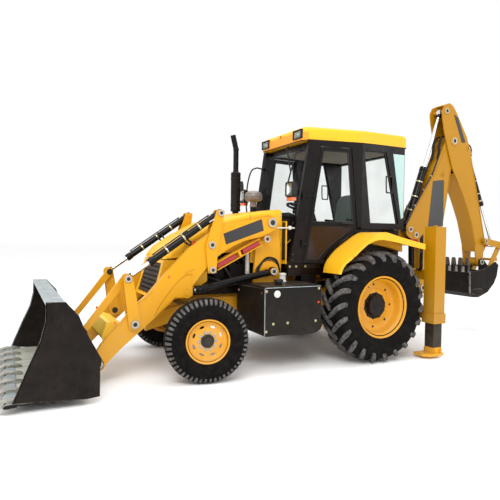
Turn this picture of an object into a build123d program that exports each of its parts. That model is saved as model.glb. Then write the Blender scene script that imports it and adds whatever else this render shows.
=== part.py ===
from build123d import *
import os
from math import sin, cos, tan, atan2, radians, degrees, hypot

# Backhoe loader, two-wheel drive: loader in front, side-shift backhoe behind.
# Frame: +X forward, +Y to the machine's left, +Z up, origin on the ground
# under the middle of the whole outline.  All X values below are given from
# the rear axle and shifted by XA on the planes.  Millimetres throughout.

os.makedirs("parts", exist_ok=True)

# ------------------------------------------------------------ dimensions
XA = -426.5            # rear axle's X in the model frame
WHEELBASE = 2170.0

REAR_R = 677.0         # rear tyre
REAR_W = 430.0
REAR_Y = 885.0         # rear wheel centre plane
REAR_BEAD = 340.0
FRONT_R = 436.0        # front tyre
FRONT_W = 250.0
FRONT_BEAD = 205.0
KING_Y = 700.0         # king pin
WHEEL_OFF = 190.0      # king pin to front wheel centre plane
STEER_REST = -10.0     # the machine stands with its front wheels turned

# loader linkage pins, (x, z)
ARM_PIVOT = (1263.0, 1675.0)
MID_PIVOT = (2027.0, 1413.0)
MID_TOP = (1923.0, 1769.0)
MID_LOW = (2017.0, 1136.0)
LEVEL_PIN = (1340.0, 1483.0)
LIFT_BASE = (1229.0, 1099.0)
LIFT_PIN = (2304.0, 895.0)
LEVER_PIVOT = (2872.0, 592.0)
LEVER_TOP = (2943.0, 1066.0)
BUCKET_PIVOT = (3235.0, 215.0)
BUCKET_EAR = (3377.0, 516.0)
ARM_Y0, ARM_Y1 = 490.0, 560.0      # loader arm, inner and outer face
LEV_OUT = (566.0, 584.0)           # lever plates outside the arm
LEV_IN = (466.0, 484.0)            # lever plates inside the arm
ARM_C = 525.0                      # middle plane of arm and rams
BUCKET_HALF = 1121.0

# backhoe pins, (x, z)
SLEW_X = -1360.0
BOOM_FOOT = (-1600.0, 760.0)
BOOM_RAM_BASE = (-1500.0, 960.0)
BOOM_RAM_PIN = (-1480.0, 1560.0)
DIPPER_PIVOT = (-2217.0, 3033.0)
DIPPER_RAM_BASE = (-1361.0, 1640.0)
DIPPER_TAIL = (-2033.0, 3477.0)
HOE_PIVOT = (-2860.0, 1130.0)
HOE_RAM_BASE = (-2640.0, 2890.0)
HOE_RAM_PIN = (-3312.0, 1401.0)
ROCKER_PIN = (-2918.0, 1470.0)
HOE_LINK_PIN = (-3058.0, 994.0)
HOE_HALF = 300.0

LEG_X = -820.0
LEG_Y = 1085.0
TOW_R = 20.0           # tow pin bore
RUN = 0.05             # running clearance on every pin, radial


# ------------------------------------------------------------ planes
def side(y=0.0):
    """Plane of constant y; sketch x is X from the rear axle, sketch y is Z."""
    return Plane(origin=(XA, y, 0), x_dir=(1, 0, 0), z_dir=(0, -1, 0))


def level(z=0.0):
    """Horizontal plane; sketch x is X from the rear axle, sketch y is Y."""
    return Plane(origin=(XA, 0, z), x_dir=(1, 0, 0), z_dir=(0, 0, 1))


def across(x=0.0):
    """Plane of constant x; sketch x is Y, sketch y is Z."""
    return Plane(origin=(XA + x, 0, 0), x_dir=(0, 1, 0), z_dir=(1, 0, 0))


# ------------------------------------------------------------ shapes
def plate(pts, y0, y1, mode=Mode.ADD, r=0.0):
    """Side profile given as (x, z) points, from y0 to y1."""
    with BuildSketch(side(max(y0, y1))) as s:
        with BuildLine():
            Polyline(*pts, close=True)
        make_face()
        if r > 0:
            fillet(s.vertices(), r)
    extrude(s.sketch, amount=abs(y1 - y0), mode=mode)


def slab(pts, z0, z1, mode=Mode.ADD, r=0.0):
    """Plan profile given as (x, y) points, from z0 up to z1."""
    with BuildSketch(level(z0)) as s:
        with BuildLine():
            Polyline(*pts, close=True)
        make_face()
        if r > 0:
            fillet(s.vertices(), r)
    extrude(s.sketch, amount=z1 - z0, mode=mode)


def wall(pts, x0, x1, mode=Mode.ADD, r=0.0):
    """Front profile given as (y, z) points, from x0 to x1."""
    with BuildSketch(across(min(x0, x1))) as s:
        with BuildLine():
            Polyline(*pts, close=True)
        make_face()
        if r > 0:
            fillet(s.vertices(), r)
    extrude(s.sketch, amount=abs(x1 - x0), mode=mode)


def block(x0, x1, y0, y1, z0, z1, mode=Mode.ADD):
    with BuildSketch(level(z0)) as s:
        with Locations(((x0 + x1) / 2, (y0 + y1) / 2)):
            Rectangle(abs(x1 - x0), abs(y1 - y0))
    extrude(s.sketch, amount=z1 - z0, mode=mode)


def disc(p, r, y0, y1, mode=Mode.ADD):
    """Round bar along Y."""
    with BuildSketch(side(max(y0, y1))) as s:
        with Locations(p):
            Circle(r)
    extrude(s.sketch, amount=abs(y1 - y0), mode=mode)


def link(p0, r0, p1, r1, y0, y1, mode=Mode.ADD):
    """Flat bar with round ends between two pins."""
    with BuildSketch(side(max(y0, y1))) as s:
        with Locations(p0):
            Circle(r0)
        with Locations(p1):
            Circle(r1)
        make_hull()
    extrude(s.sketch, amount=abs(y1 - y0), mode=mode)


def bar(p0, p1, r, mode=Mode.ADD):
    """Round bar between two (x, y, z) points."""
    a = Vector(p0[0] + XA, p0[1], p0[2])
    b = Vector(p1[0] + XA, p1[1], p1[2])
    with BuildSketch(Plane(origin=a, z_dir=b - a)) as s:
        Circle(r)
    extrude(s.sketch, amount=(b - a).length, mode=mode)


def along(p0, p1, d):
    """Point at distance d from p0 towards p1, both (x, z)."""
    n = hypot(p1[0] - p0[0], p1[1] - p0[1])
    return (p0[0] + (p1[0] - p0[0]) * d / n, p0[1] + (p1[1] - p0[1]) * d / n)


def at(p, y):
    return (p[0], y, p[1])


def beam_pts(p0, p1, w):
    """Corners of a straight bar of width w between two (x, z) points."""
    n = hypot(p1[0] - p0[0], p1[1] - p0[1])
    nx, nz = -(p1[1] - p0[1]) / n * w / 2, (p1[0] - p0[0]) / n * w / 2
    return [(p0[0] + nx, p0[1] + nz), (p1[0] + nx, p1[1] + nz),
            (p1[0] - nx, p1[1] - nz), (p0[0] - nx, p0[1] - nz)]


# ------------------------------------------------------------ chassis
# two channel rails, stepped up over the front axle, with loader towers
RAIL = [(-700, 560), (-700, 760), (-260, 900), (260, 900), (420, 800),
        (2000, 800), (2700, 640), (2700, 470), (2350, 560), (1750, 620),
        (1300, 520), (230, 520), (180, 800), (-180, 800), (-230, 560)]
TOWER = [(1080, 520), (1450, 520), (1450, 1000), (1420, 1420), (1400, 1560),
         (1340, 1740), (1263, 1770), (1190, 1745), (1130, 1650), (1090, 1400)]

with BuildPart() as chassis_frame:
    for s in (1, -1):
        plate(RAIL, s * 270, s * 345)
    # cross members
    block(-640, -560, -270, 270, 580, 700)
    block(1100, 1180, -270, 270, 520, 555)
    block(2560, 2700, -270, 270, 520, 640)
    # tow pin bore in the front cross member
    bar((2640, 0, 515), (2640, 0, 645), TOW_R, mode=Mode.SUBTRACT)
    # front axle saddle
    block(2100, 2240, -270, 270, 600, 700)
chassis_frame.part.label = "chassis_frame"
export_step(chassis_frame.part, "parts/chassis_frame.step")

# loader towers: one cheek a side carries arm pivot, level link and lift ram
with BuildPart() as loader_towers:
    for s in (1, -1):
        plate(TOWER, s * 432, s * 462, r=12)
        disc(ARM_PIVOT, 55, s * 462, s * 484)
        plate([(1100, 520), (1440, 520), (1440, 780), (1100, 780)],
              s * 345, s * 432)
        disc(ARM_PIVOT, 35, s * 484, s * 578)
        disc(ARM_PIVOT, 58, s * 562, s * 578)
        # level link pin and lift ram pin stand out of the cheek
        disc(LEVEL_PIN, 22, s * 462, s * 590)
        disc(LEVEL_PIN, 36, s * 586, s * 594)
        disc(LIFT_BASE, 48, s * 462, s * 500)
        disc(LIFT_BASE, 28, s * 500, s * 556)
        disc(LIFT_BASE, 44, s * 550.5, s * 566)
    # tower tie
    block(1120, 1200, -432, 432, 1600, 1680)
loader_towers.part.label = "loader_towers"
export_step(loader_towers.part, "parts/loader_towers.step")

# engine and gearbox as one heavy block
with BuildPart() as engine_block:
    block(1300, 2150, -230, 230, 820, 1330)
    block(820, 1300, -180, 180, 560, 900)
    block(1340, 1700, 230, 330, 930, 1180)
engine_block.part.label = "engine_block"
export_step(engine_block.part, "parts/engine_block.step")

# ------------------------------------------------------------ axles
with BuildPart() as axles:
    # front beam on its centre pivot, a fork at each end for the king pin
    wall([(-640, 376), (640, 376), (640, 486), (260, 500), (120, 560),
          (-120, 560), (-260, 500), (-640, 486)], 2110, 2230)
    for s in (1, -1):
        # king pin forks
        block(2110, 2230, s * 640, s * 752, 500, 530)
        block(2110, 2230, s * 640, s * 752, 342, 372)
        block(2110, 2230, s * 610, s * 640, 342, 530)
        with BuildSketch(level(300)) as k:
            with Locations((WHEELBASE, s * KING_Y)):
                Circle(28)
        extrude(k.sketch, amount=260)
    bar((2170, 0, 560), (2170, 0, 600), 90)
    # rear axle: tube, differential housing, hub reductions, shafts
    bar((0, -690, REAR_R), (0, 690, REAR_R), 115)
    with BuildSketch(side(190)) as k:
        with Locations((0, REAR_R)):
            Circle(205)
    extrude(k.sketch, amount=380)
    for s in (1, -1):
        bar((0, s * 640, REAR_R), (0, s * 700, REAR_R), 170)
        bar((0, s * 700, REAR_R), (0, s * 905, REAR_R), 75)
        block(-90, 90, s * 275, s * 345, 740, 800)
axles.part.label = "axles"
export_step(axles.part, "parts/axles.step")


def wheel_plane(x, y, z, turn):
    """Plane through the wheel's axis; sketch x is the radius (up), sketch y
    runs along the axle towards the left."""
    a = radians(turn)
    return Plane(origin=(XA + x, y, z), x_dir=(0, 0, 1),
                 z_dir=(cos(a), sin(a), 0))


def tyre_section(pl, r, w, bead, rim_w, lip):
    """Cross-section of a tyre: bead, sidewall bulge, shoulder and crown."""
    h = w / 2
    d = r - lip
    with BuildSketch(pl) as sec:
        with BuildLine():
            Polyline((lip + 4, -rim_w), (bead, -rim_w), (bead, rim_w),
                     (lip + 4, rim_w))
            Spline((lip + 4, rim_w), (lip + 0.38 * d, h),
                   (lip + 0.78 * d, h * 0.94))
            Polyline((lip + 0.78 * d, h * 0.94), (lip + 0.93 * d, h * 0.86),
                     (lip + 0.985 * d, h * 0.68), (r, h * 0.42),
                     (r, -h * 0.42), (lip + 0.985 * d, -h * 0.68),
                     (lip + 0.93 * d, -h * 0.86), (lip + 0.78 * d, -h * 0.94))
            Spline((lip + 0.78 * d, -h * 0.94), (lip + 0.38 * d, -h),
                   (lip + 4, -rim_w))
        make_face()
    return sec.sketch


def front_centre(s):
    a = radians(STEER_REST)
    return (WHEELBASE - s * WHEEL_OFF * sin(a),
            s * KING_Y + s * WHEEL_OFF * cos(a), FRONT_R)


# name, side sign, centre x, y, z, turn, tyre radius, width, bead, rim half
# width, rim flange radius, disc offset, hub radius, hub bore
WHEELS = [
    dict(end="front", name="left", s=1, c=front_centre(1), turn=STEER_REST,
         r=FRONT_R, w=FRONT_W, bead=FRONT_BEAD, rim=88.0, lip=228.0,
         off=38.0, hub=72.0, bore=32.0, shaft0=-92.0, shaft1=70.0),
    dict(end="front", name="right", s=-1, c=front_centre(-1), turn=STEER_REST,
         r=FRONT_R, w=FRONT_W, bead=FRONT_BEAD, rim=88.0, lip=228.0,
         off=38.0, hub=72.0, bore=32.0, shaft0=-92.0, shaft1=70.0),
    dict(end="rear", name="left", s=1, c=(0.0, REAR_Y, REAR_R), turn=0.0,
         r=REAR_R, w=REAR_W, bead=REAR_BEAD, rim=165.0, lip=374.0,
         off=-10.0, hub=150.0, bore=75.0, shaft0=-130.0, shaft1=95.0),
    dict(end="rear", name="right", s=-1, c=(0.0, -REAR_Y, REAR_R), turn=0.0,
         r=REAR_R, w=REAR_W, bead=REAR_BEAD, rim=165.0, lip=374.0,
         off=-10.0, hub=150.0, bore=75.0, shaft0=-130.0, shaft1=95.0),
]
for w in WHEELS:
    cx, cy, cz = w["c"]
    pl = wheel_plane(cx, cy, cz, w["turn"])
    axle = Axis(pl.origin, pl.y_dir)
    s = w["s"]
    with BuildPart() as tyre:
        revolve(tyre_section(pl, w["r"], w["w"], w["bead"], w["rim"] - 0.5,
                             w["lip"]), axis=axle)
    tyre.part.label = f"{w['end']}_tyre_{w['name']}"
    export_step(tyre.part, f"parts/{w['end']}_tyre_{w['name']}.step")

    # dished rim: barrel with two lips, disc, hub and axle bore
    b, rw, lip, off, hub = w["bead"] - 0.3, w["rim"], w["lip"], w["off"], w["hub"]
    t = 14.0 if w["end"] == "rear" else 10.0
    with BuildPart() as rim:
        with BuildSketch(pl) as prof:
            with BuildLine():
                Polyline((b - t, -rw - t), (lip, -rw - t), (lip, -rw),
                         (b, -rw), (b, rw), (lip, rw), (lip, rw + t),
                         (b - t, rw + t), (b - t, -rw - t))
            make_face()
            with BuildLine():
                Polyline((w["bore"] + RUN, s * w["shaft0"]),
                         (hub, s * w["shaft0"]),
                         (hub, s * (off - t)), (b - t, s * (off - t)),
                         (b - t, s * (off + t)), (hub, s * (off + t)),
                         (hub, s * w["shaft1"]),
                         (w["bore"] + RUN, s * w["shaft1"]),
                         (w["bore"] + RUN, s * w["shaft0"]))
            make_face()
        revolve(prof.sketch, axis=axle)
        # hand holes in the front rims' discs
        if w["end"] == "front":
            hole_pl = Plane(origin=pl.origin, x_dir=pl.x_dir, z_dir=pl.y_dir)
            with BuildSketch(hole_pl) as holes:
                with PolarLocations(146, 8):
                    Circle(13)
            extrude(holes.sketch, amount=60, both=True, mode=Mode.SUBTRACT)
    rim.part.label = f"{w['end']}_rim_{w['name']}"
    export_step(rim.part, f"parts/{w['end']}_rim_{w['name']}.step")

# steering knuckles: king pin barrel, stub axle and steering arm
for s, name in ((1, "left"), (-1, "right")):
    cx, cy, cz = front_centre(s)
    a = radians(STEER_REST)
    out = (-s * sin(a), s * cos(a))
    with BuildPart() as knuckle:
        with BuildSketch(level(374)) as k:
            with Locations((WHEELBASE, s * KING_Y)):
                Circle(48)
                Circle(28 + RUN, mode=Mode.SUBTRACT)
        extrude(k.sketch, amount=124)
        bar((WHEELBASE + out[0] * 40, s * KING_Y + out[1] * 40, cz),
            (WHEELBASE + out[0] * 92, s * KING_Y + out[1] * 92, cz), 46)
        bar((WHEELBASE + out[0] * 92, s * KING_Y + out[1] * 92, cz),
            (cx + out[0] * 66, cy + out[1] * 66, cz), 32)
        with BuildSketch(level(300)) as k2:
            with Locations((WHEELBASE, s * KING_Y)):
                Circle(28 + RUN)
        extrude(k2.sketch, amount=300, mode=Mode.SUBTRACT)
    knuckle.part.label = f"knuckle_{name}"
    export_step(knuckle.part, f"parts/knuckle_{name}.step")


def thick(pts, t):
    """Closed outline of a sheet of thickness t whose one face follows the
    (x, z) points; the other face lies on their left-hand side."""
    nrm = []
    for i in range(len(pts) - 1):
        dx, dz = pts[i + 1][0] - pts[i][0], pts[i + 1][1] - pts[i][1]
        n = hypot(dx, dz)
        nrm.append((-dz / n, dx / n))
    out = []
    for i, p in enumerate(pts):
        a = nrm[max(i - 1, 0)]
        b = nrm[min(i, len(nrm) - 1)]
        k = 1 + a[0] * b[0] + a[1] * b[1]
        out.append((p[0] + (a[0] + b[0]) * t / k, p[1] + (a[1] + b[1]) * t / k))
    return list(pts) + out[::-1]


def barrel(base, tip, y, r, bore, pin, length, eye=50.0, half=20.0):
    """Ram barrel from the eye at base towards tip; bore is the rod's radius."""
    disc(base, eye, y - half, y + half)
    bar(at(along(base, tip, eye * 0.7), y), at(along(base, tip, length), y), r)
    disc(base, eye + 2, y + half, y + r + 1, mode=Mode.SUBTRACT)
    disc(base, eye + 2, y - r - 1, y - half, mode=Mode.SUBTRACT)
    bar(at(along(base, tip, eye + 55), y), at(along(base, tip, length + 2), y),
        bore + RUN, mode=Mode.SUBTRACT)
    disc(base, pin + RUN, y - half - 1, y + half + 1, mode=Mode.SUBTRACT)


def rod(tip, base, y, r, length, eye=42.0, half=20.0):
    """Ram rod from its solid eye at tip back towards base."""
    disc(tip, eye, y - half, y + half)
    bar(at(tip, y), at(along(tip, base, length), y), r)


# ------------------------------------------------------------ loader
ARM = [(1190, 1640), (1203, 1600), (1372, 1520), (1620, 1462), (1750, 1408),
       (1902, 1318), (1990, 1250), (2069, 1175), (2240, 970), (2240, 860),
       (2290, 832), (2440, 842), (2495, 786), (2821, 504), (2987, 369),
       (3180, 185), (3225, 145), (3275, 155), (3300, 200), (3290, 270),
       (3207, 405), (3132, 490), (3009, 617), (2872, 780), (2730, 895),
       (2560, 1090), (2280, 1380), (2090, 1510), (1899, 1650), (1560, 1700),
       (1300, 1745), (1230, 1740), (1195, 1705)]
CROSS_TUBE = (3072.0, 445.0)

with BuildPart() as loader_arms:
    for s in (1, -1):
        plate(ARM, s * ARM_Y0, s * ARM_Y1)
        disc(LIFT_PIN, 62, s * ARM_Y0, s * ARM_Y1)
        # open pocket for the lift rod's eye between the two cheeks
        plate([(2375, 840), (2375, 950), (2290, 1010), (2150, 1090),
               (2090, 950), (2200, 800), (2330, 800)],
              s * 500, s * 550, mode=Mode.SUBTRACT)
        disc(LIFT_PIN, 34, s * 560, s * 572)
        disc(ARM_PIVOT, 35 + RUN, s * 480, s * 570, mode=Mode.SUBTRACT)
        disc(MID_PIVOT, 25 + RUN, s * 480, s * 570, mode=Mode.SUBTRACT)
        disc(LEVER_PIVOT, 25 + RUN, s * 480, s * 570, mode=Mode.SUBTRACT)
        disc(BUCKET_PIVOT, 28 + RUN, s * 480, s * 570, mode=Mode.SUBTRACT)
    disc(CROSS_TUBE, 50, -ARM_Y0, ARM_Y0)
loader_arms.part.label = "loader_arms"
export_step(loader_arms.part, "parts/loader_arms.step")

# middle levers of the self-levelling linkage, with their three pins
MID = [(1965, 1806), (2040, 1593), (2100, 1400), (2080, 1205), (2066, 1104),
       (1972, 1100), (1962, 1289), (1935, 1480), (1895, 1681), (1880, 1800)]
MID_IN = [(1965, 1806), (2040, 1593), (2100, 1400), (2010, 1340), (1935, 1400),
          (1895, 1681), (1880, 1800)]
with BuildPart() as mid_levers:
    for s in (1, -1):
        plate(MID, s * LEV_OUT[0], s * LEV_OUT[1], r=14)
        plate(MID_IN, s * LEV_IN[0], s * LEV_IN[1], r=14)
        disc(MID_PIVOT, 25, s * 462, s * 590)
        disc(MID_PIVOT, 40, s * 584, s * 594)
        disc(MID_TOP, 22, s * 460, s * 590)
        disc(MID_TOP, 36, s * 584, s * 594)
        disc(MID_LOW, 22, s * 458, s * 590)
        disc(MID_LOW, 36, s * 584, s * 594)
mid_levers.part.label = "mid_levers"
export_step(mid_levers.part, "parts/mid_levers.step")

with BuildPart() as level_links:
    for s in (1, -1):
        link(LEVEL_PIN, 44, MID_LOW, 44, s * LEV_IN[0], s * LEV_IN[1])
        disc(LEVEL_PIN, 22 + RUN, s * 464, s * 486, mode=Mode.SUBTRACT)
        disc(MID_LOW, 40, s * 464, s * 486, mode=Mode.SUBTRACT)
level_links.part.label = "level_links"
export_step(level_links.part, "parts/level_links.step")

# pivot pins of the front levers
with BuildPart() as lever_pins:
    for s in (1, -1):
        disc(LEVER_PIVOT, 25, s * 458, s * 592)
        disc(LEVER_PIVOT, 42, s * 584.5, s * 594)
        disc(LEVER_PIVOT, 34, s * 456, s * 465.5)
lever_pins.part.label = "lever_pins"
export_step(lever_pins.part, "parts/lever_pins.step")

with BuildPart() as front_levers:
    for s in (1, -1):
        for y0, y1 in (LEV_OUT, LEV_IN):
            link(LEVER_TOP, 48, LEVER_PIVOT, 66, s * y0, s * y1)
        disc(LEVER_PIVOT, 25 + RUN, s * 440, s * 600, mode=Mode.SUBTRACT)
        disc(LEVER_TOP, 22 + RUN, s * 440, s * 600, mode=Mode.SUBTRACT)
front_levers.part.label = "front_levers"
export_step(front_levers.part, "parts/front_levers.step")

# pins at the levers' tops; the inner stub carries the tipping link, and the
# space between the stubs is the tilt rod's
with BuildPart() as link_pins:
    for s in (1, -1):
        disc(LEVER_TOP, 22, s * 552, s * 592)
        disc(LEVER_TOP, 36, s * 584.5, s * 594)
        disc(LEVER_TOP, 22, s * 420, s * 498)
        disc(LEVER_TOP, 34, s * 412, s * 423.5)
link_pins.part.label = "link_pins"
export_step(link_pins.part, "parts/link_pins.step")

LINK_Y = (425.0, 458.0)
with BuildPart() as tipping_links:
    for s in (1, -1):
        link(LEVER_TOP, 38, BUCKET_EAR, 30, s * LINK_Y[0], s * LINK_Y[1])
        disc(LEVER_TOP, 22 + RUN, s * 420, s * 462, mode=Mode.SUBTRACT)
tipping_links.part.label = "tipping_links"
export_step(tipping_links.part, "parts/tipping_links.step")

with BuildPart() as bucket_pins:
    for s in (1, -1):
        disc(BUCKET_PIVOT, 28, s * 460, s * 592)
        disc(BUCKET_PIVOT, 42, s * 584.5, s * 594)
        disc(BUCKET_PIVOT, 38, s * 456, s * 465.5)
bucket_pins.part.label = "bucket_pins"
export_step(bucket_pins.part, "parts/bucket_pins.step")

# loader bucket: side plates, shell, lip plate, hinge ears, teeth
CHEEK = [(4017, 102), (3909, 368), (3802, 610), (3761, 773), (3757, 935),
         (3597, 932), (3488, 805), (3439, 680), (3292, 400), (3307, 329),
         (3311, 71), (3420, 60)]
SHELL = [(3700, 934), (3602, 850), (3515, 690), (3378, 420), (3362, 330),
         (3376, 120), (3440, 62), (4040, 70)]
EAR = [(3182, 232), (3188, 182), (3236, 150), (3382, 118), (3390, 430),
       (3500, 660), (3440, 640), (3345, 565), (3330, 500), (3300, 330),
       (3230, 285)]
with BuildPart() as loader_bucket:
    for s in (1, -1):
        plate(CHEEK, s * (BUCKET_HALF - 18), s * BUCKET_HALF)
        for y0, y1 in (LEV_OUT, LEV_IN, (404.0, 419.0)):
            plate(EAR, s * y0, s * y1, r=8)
            disc(BUCKET_EAR, 44, s * y0, s * y1)
        disc(BUCKET_PIVOT, 28 + RUN, s * 400, s * 600, mode=Mode.SUBTRACT)
    plate(thick(SHELL, 16), -(BUCKET_HALF - 18), BUCKET_HALF - 18)
    # cutting edge and eight teeth
    plate([(3980, 96), (3980, 68), (4070, 62), (4092, 72), (4070, 96)],
          -BUCKET_HALF, BUCKET_HALF)
    for i in range(8):
        y = -1050 + i * 300
        plate([(3985, 100), (3985, 122), (4060, 124), (4212, 72), (4217, 58),
               (4205, 50), (4060, 50), (4060, 98)], y - 38, y + 38)
loader_bucket.part.label = "loader_bucket"
export_step(loader_bucket.part, "parts/loader_bucket.step")

with BuildPart() as tilt_barrels:
    for s in (1, -1):
        barrel(MID_TOP, LEVER_TOP, s * ARM_C, 38, 24, 22, 963, eye=44,
               half=20)
tilt_barrels.part.label = "tilt_barrels"
export_step(tilt_barrels.part, "parts/tilt_barrels.step")

with BuildPart() as tilt_rods:
    for s in (1, -1):
        rod(LEVER_TOP, MID_TOP, s * ARM_C, 24, 700, eye=38, half=18)
tilt_rods.part.label = "tilt_rods"
export_step(tilt_rods.part, "parts/tilt_rods.step")

with BuildPart() as lift_barrels:
    for s in (1, -1):
        barrel(LIFT_BASE, LIFT_PIN, s * ARM_C, 40, 23, 28, 985, eye=54,
               half=21)
lift_barrels.part.label = "lift_barrels"
export_step(lift_barrels.part, "parts/lift_barrels.step")

with BuildPart() as lift_rods:
    for s in (1, -1):
        rod(LIFT_PIN, LIFT_BASE, s * ARM_C, 23, 850, eye=40, half=18)
lift_rods.part.label = "lift_rods"
export_step(lift_rods.part, "parts/lift_rods.step")


# ------------------------------------------------------------ bonnet, nose
BONNET_TOP = [(1468, 1796), (1700, 1742), (1950, 1662), (2250, 1505),
              (2440, 1380), (2505, 1300)]
COWL_TOP = [(1040, 1846), (1200, 1832), (1462, 1797)]


def hood(top, z_rear, z_front, half, skin):
    """Open-bottomed hood with rounded shoulders under a (x, z) top line."""
    x0, x1 = top[0][0], top[-1][0]
    plate([(x0, z_rear)] + top + [(x1 + 12, z_front)], -half, half)


with BuildPart() as bonnet:
    hood(BONNET_TOP, 1345, 1252, 400, 10)
    long_edges = [e for e in bonnet.edges()
                  if abs(abs(e.center().Y) - 400) < 1 and e.center().Z > 1310
                  and abs(e.bounding_box().size.X) > 60
                  and e.center().X - XA < 2500]
    fillet(long_edges, 70)
    low = [(x, z - 84) for x, z in BONNET_TOP[:-1]]
    plate([(1480, 1300), (1480, low[0][1])] + low[1:-1] +
          [(2400, 1300), (2500, 1210), (2470, 1200)],
          -390, 390, mode=Mode.SUBTRACT)
    mid = [(x, z - 14) for x, z in BONNET_TOP[:-1]]
    plate([(1480, 1300), (1480, mid[0][1])] + mid[1:] +
          [(2490, 1296), (2505, 1200)], -322, 322, mode=Mode.SUBTRACT)
    # hinge eyes at the rear edge, between notches for the cowl's eyes
    for y in (-230, 200):
        disc((1475, 1790), 11, y, y + 29)
        for y0, y1 in ((y - 33, y), (y + 29, y + 62)):
            block(1460, 1493, y0, y1, 1770, 1812, mode=Mode.SUBTRACT)
        disc((1475, 1790), 6 + RUN, y - 1, y + 30, mode=Mode.SUBTRACT)
bonnet.part.label = "bonnet"
export_step(bonnet.part, "parts/bonnet.step")

with BuildPart() as cowls:
    plate([(1040, 1200)] + COWL_TOP + [(1462, 1200)], -400, 400)
    fillet([e for e in cowls.edges()
            if abs(abs(e.center().Y) - 400) < 1 and e.center().Z > 1790
            and abs(e.bounding_box().size.X) > 60], 70)
    plate([(1052, 1100), (1052, 1748), (1200, 1738), (1475, 1700),
           (1475, 1100)], -390, 390, mode=Mode.SUBTRACT)
    plate([(1052, 1100), (1052, 1830), (1200, 1818), (1475, 1782),
           (1475, 1100)], -322, 322, mode=Mode.SUBTRACT)
    # lower side panels behind the towers
    for s in (1, -1):
        block(1040, 1340, s * 390, s * 400, 1010, 1205)
        block(1112, 1208, s * 385, s * 405, 1592, 1688, mode=Mode.SUBTRACT)
    # openings for the exhaust and the air intake
    with BuildSketch(level(1700)) as k:
        with Locations((1400, -175)):
            Circle(52)
    extrude(k.sketch, amount=200, mode=Mode.SUBTRACT)
    with BuildSketch(level(1700)) as k2:
        with Locations((1290, 120)):
            Circle(46)
    extrude(k2.sketch, amount=200, mode=Mode.SUBTRACT)
    # firewall between bonnet and cab
    wall([(-484, 1181), (484, 1181), (484, 1700), (-484, 1700)],
         1012, 1028)
    wall([(-404, 1181), (404, 1181), (404, 1700), (-404, 1700)],
         1028, 1041)
    # fixed eyes and pins of the bonnet hinge
    for y in (-230, 200):
        for y0 in (y - 30, y + 31):
            plate([(1450, 1785), (1450, 1797), (1475, 1800), (1475, 1780)],
                  y0, y0 + 28)
            disc((1475, 1790), 11, y0, y0 + 28)
        disc((1475, 1790), 6, y - 10, y + 40)
    # nose: side panels and surround of the grille
    NOSE = [(2010, 1000), (2010, 1250), (2520, 1242), (2548, 1120),
            (2590, 960), (2640, 820), (2440, 790), (2240, 850)]
    plate(NOSE, -400, 400)
    plate([(1990, 700), (1990, 1290), (2508, 1290), (2536, 1120),
           (2578, 960), (2634, 760), (2600, 700)], -390, 390,
          mode=Mode.SUBTRACT)
    # front surround
    plate([(2508, 1236), (2520, 1242), (2548, 1120), (2590, 960),
           (2640, 820), (2622, 820), (2574, 960), (2532, 1120),
           (2504, 1242)], -390, 390)
    wall([(-330, 850), (330, 850), (330, 1205), (-330, 1205)], 2450, 2700,
         mode=Mode.SUBTRACT)
cowls.part.label = "cowls"
export_step(cowls.part, "parts/cowls.step")

with BuildPart() as grille:
    for i in range(7):
        z = 862 + i * 50
        x = 2500 + (1242 - z) * 0.31
        plate([(x - 22, z), (x + 2, z), (x - 8, z + 34), (x - 30, z + 34)],
              -326, 326)
    for y in (-326, -8, 310):
        plate([(2470, 1200), (2488, 1200), (2592, 855), (2574, 855)], y,
              y + 16)
grille.part.label = "grille"
export_step(grille.part, "parts/grille.step")

# exhaust stack and air pre-cleaner
with BuildPart() as stacks:
    bar((1400, -175, 1600), (1400, -175, 1870), 38)
    bar((1400, -175, 1830), (1400, -175, 2330), 62)
    bar((1400, -175, 2300), (1400, -175, 2640), 34)
    bar((1400, -175, 2630), (1446, -175, 2806), 34)
    # air pre-cleaner on its own stem
    bar((1290, 120, 1640), (1290, 120, 1955), 40)
    with BuildSketch(Plane(origin=(XA + 1290, 120, 0), x_dir=(1, 0, 0),
                           z_dir=(0, -1, 0))) as k:
        with BuildLine():
            Polyline((0, 1945), (92, 1965), (104, 1985), (104, 2010),
                     (84, 2050), (40, 2074), (0, 2080), close=True)
        make_face()
    revolve(k.sketch, axis=Axis((XA + 1290, 120, 0), (0, 0, 1)))
stacks.part.label = "stacks"
export_step(stacks.part, "parts/stacks.step")

# ------------------------------------------------------------ tanks
# fuel tank on the left, battery and tool box on the right
TANK = [(828, 500), (905, 425), (1560, 425), (1560, 640), (1560, 960),
        (828, 960)]
with BuildPart() as side_tanks:
    for s in (1, -1):
        plate(TANK, s * 470, s * 960, r=18)
        block(880, 1060, s * 345, s * 472, 560, 700)
    # filler neck
    bar((1300, 800, 955), (1300, 800, 1010), 42)
side_tanks.part.label = "side_tanks"
export_step(side_tanks.part, "parts/side_tanks.step")

# ------------------------------------------------------------ cab
# the side wall runs straight back from (900, 566) to (60, 706), then parallel
SIDE_A = (900.0, 566.0)
SIDE_B = (60.0, 706.0)
CAB_REAR = -640.0
FLOOR_Z = 1180.0
ROOF_Z = 2690.0


def side_y(x):
    """Half width of the cab's outer wall at x."""
    if x < SIDE_B[0]:
        return SIDE_B[1]
    return SIDE_B[1] - (x - SIDE_B[0]) * (SIDE_B[1] - SIDE_A[1]) / (
        SIDE_A[0] - SIDE_B[0])


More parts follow.
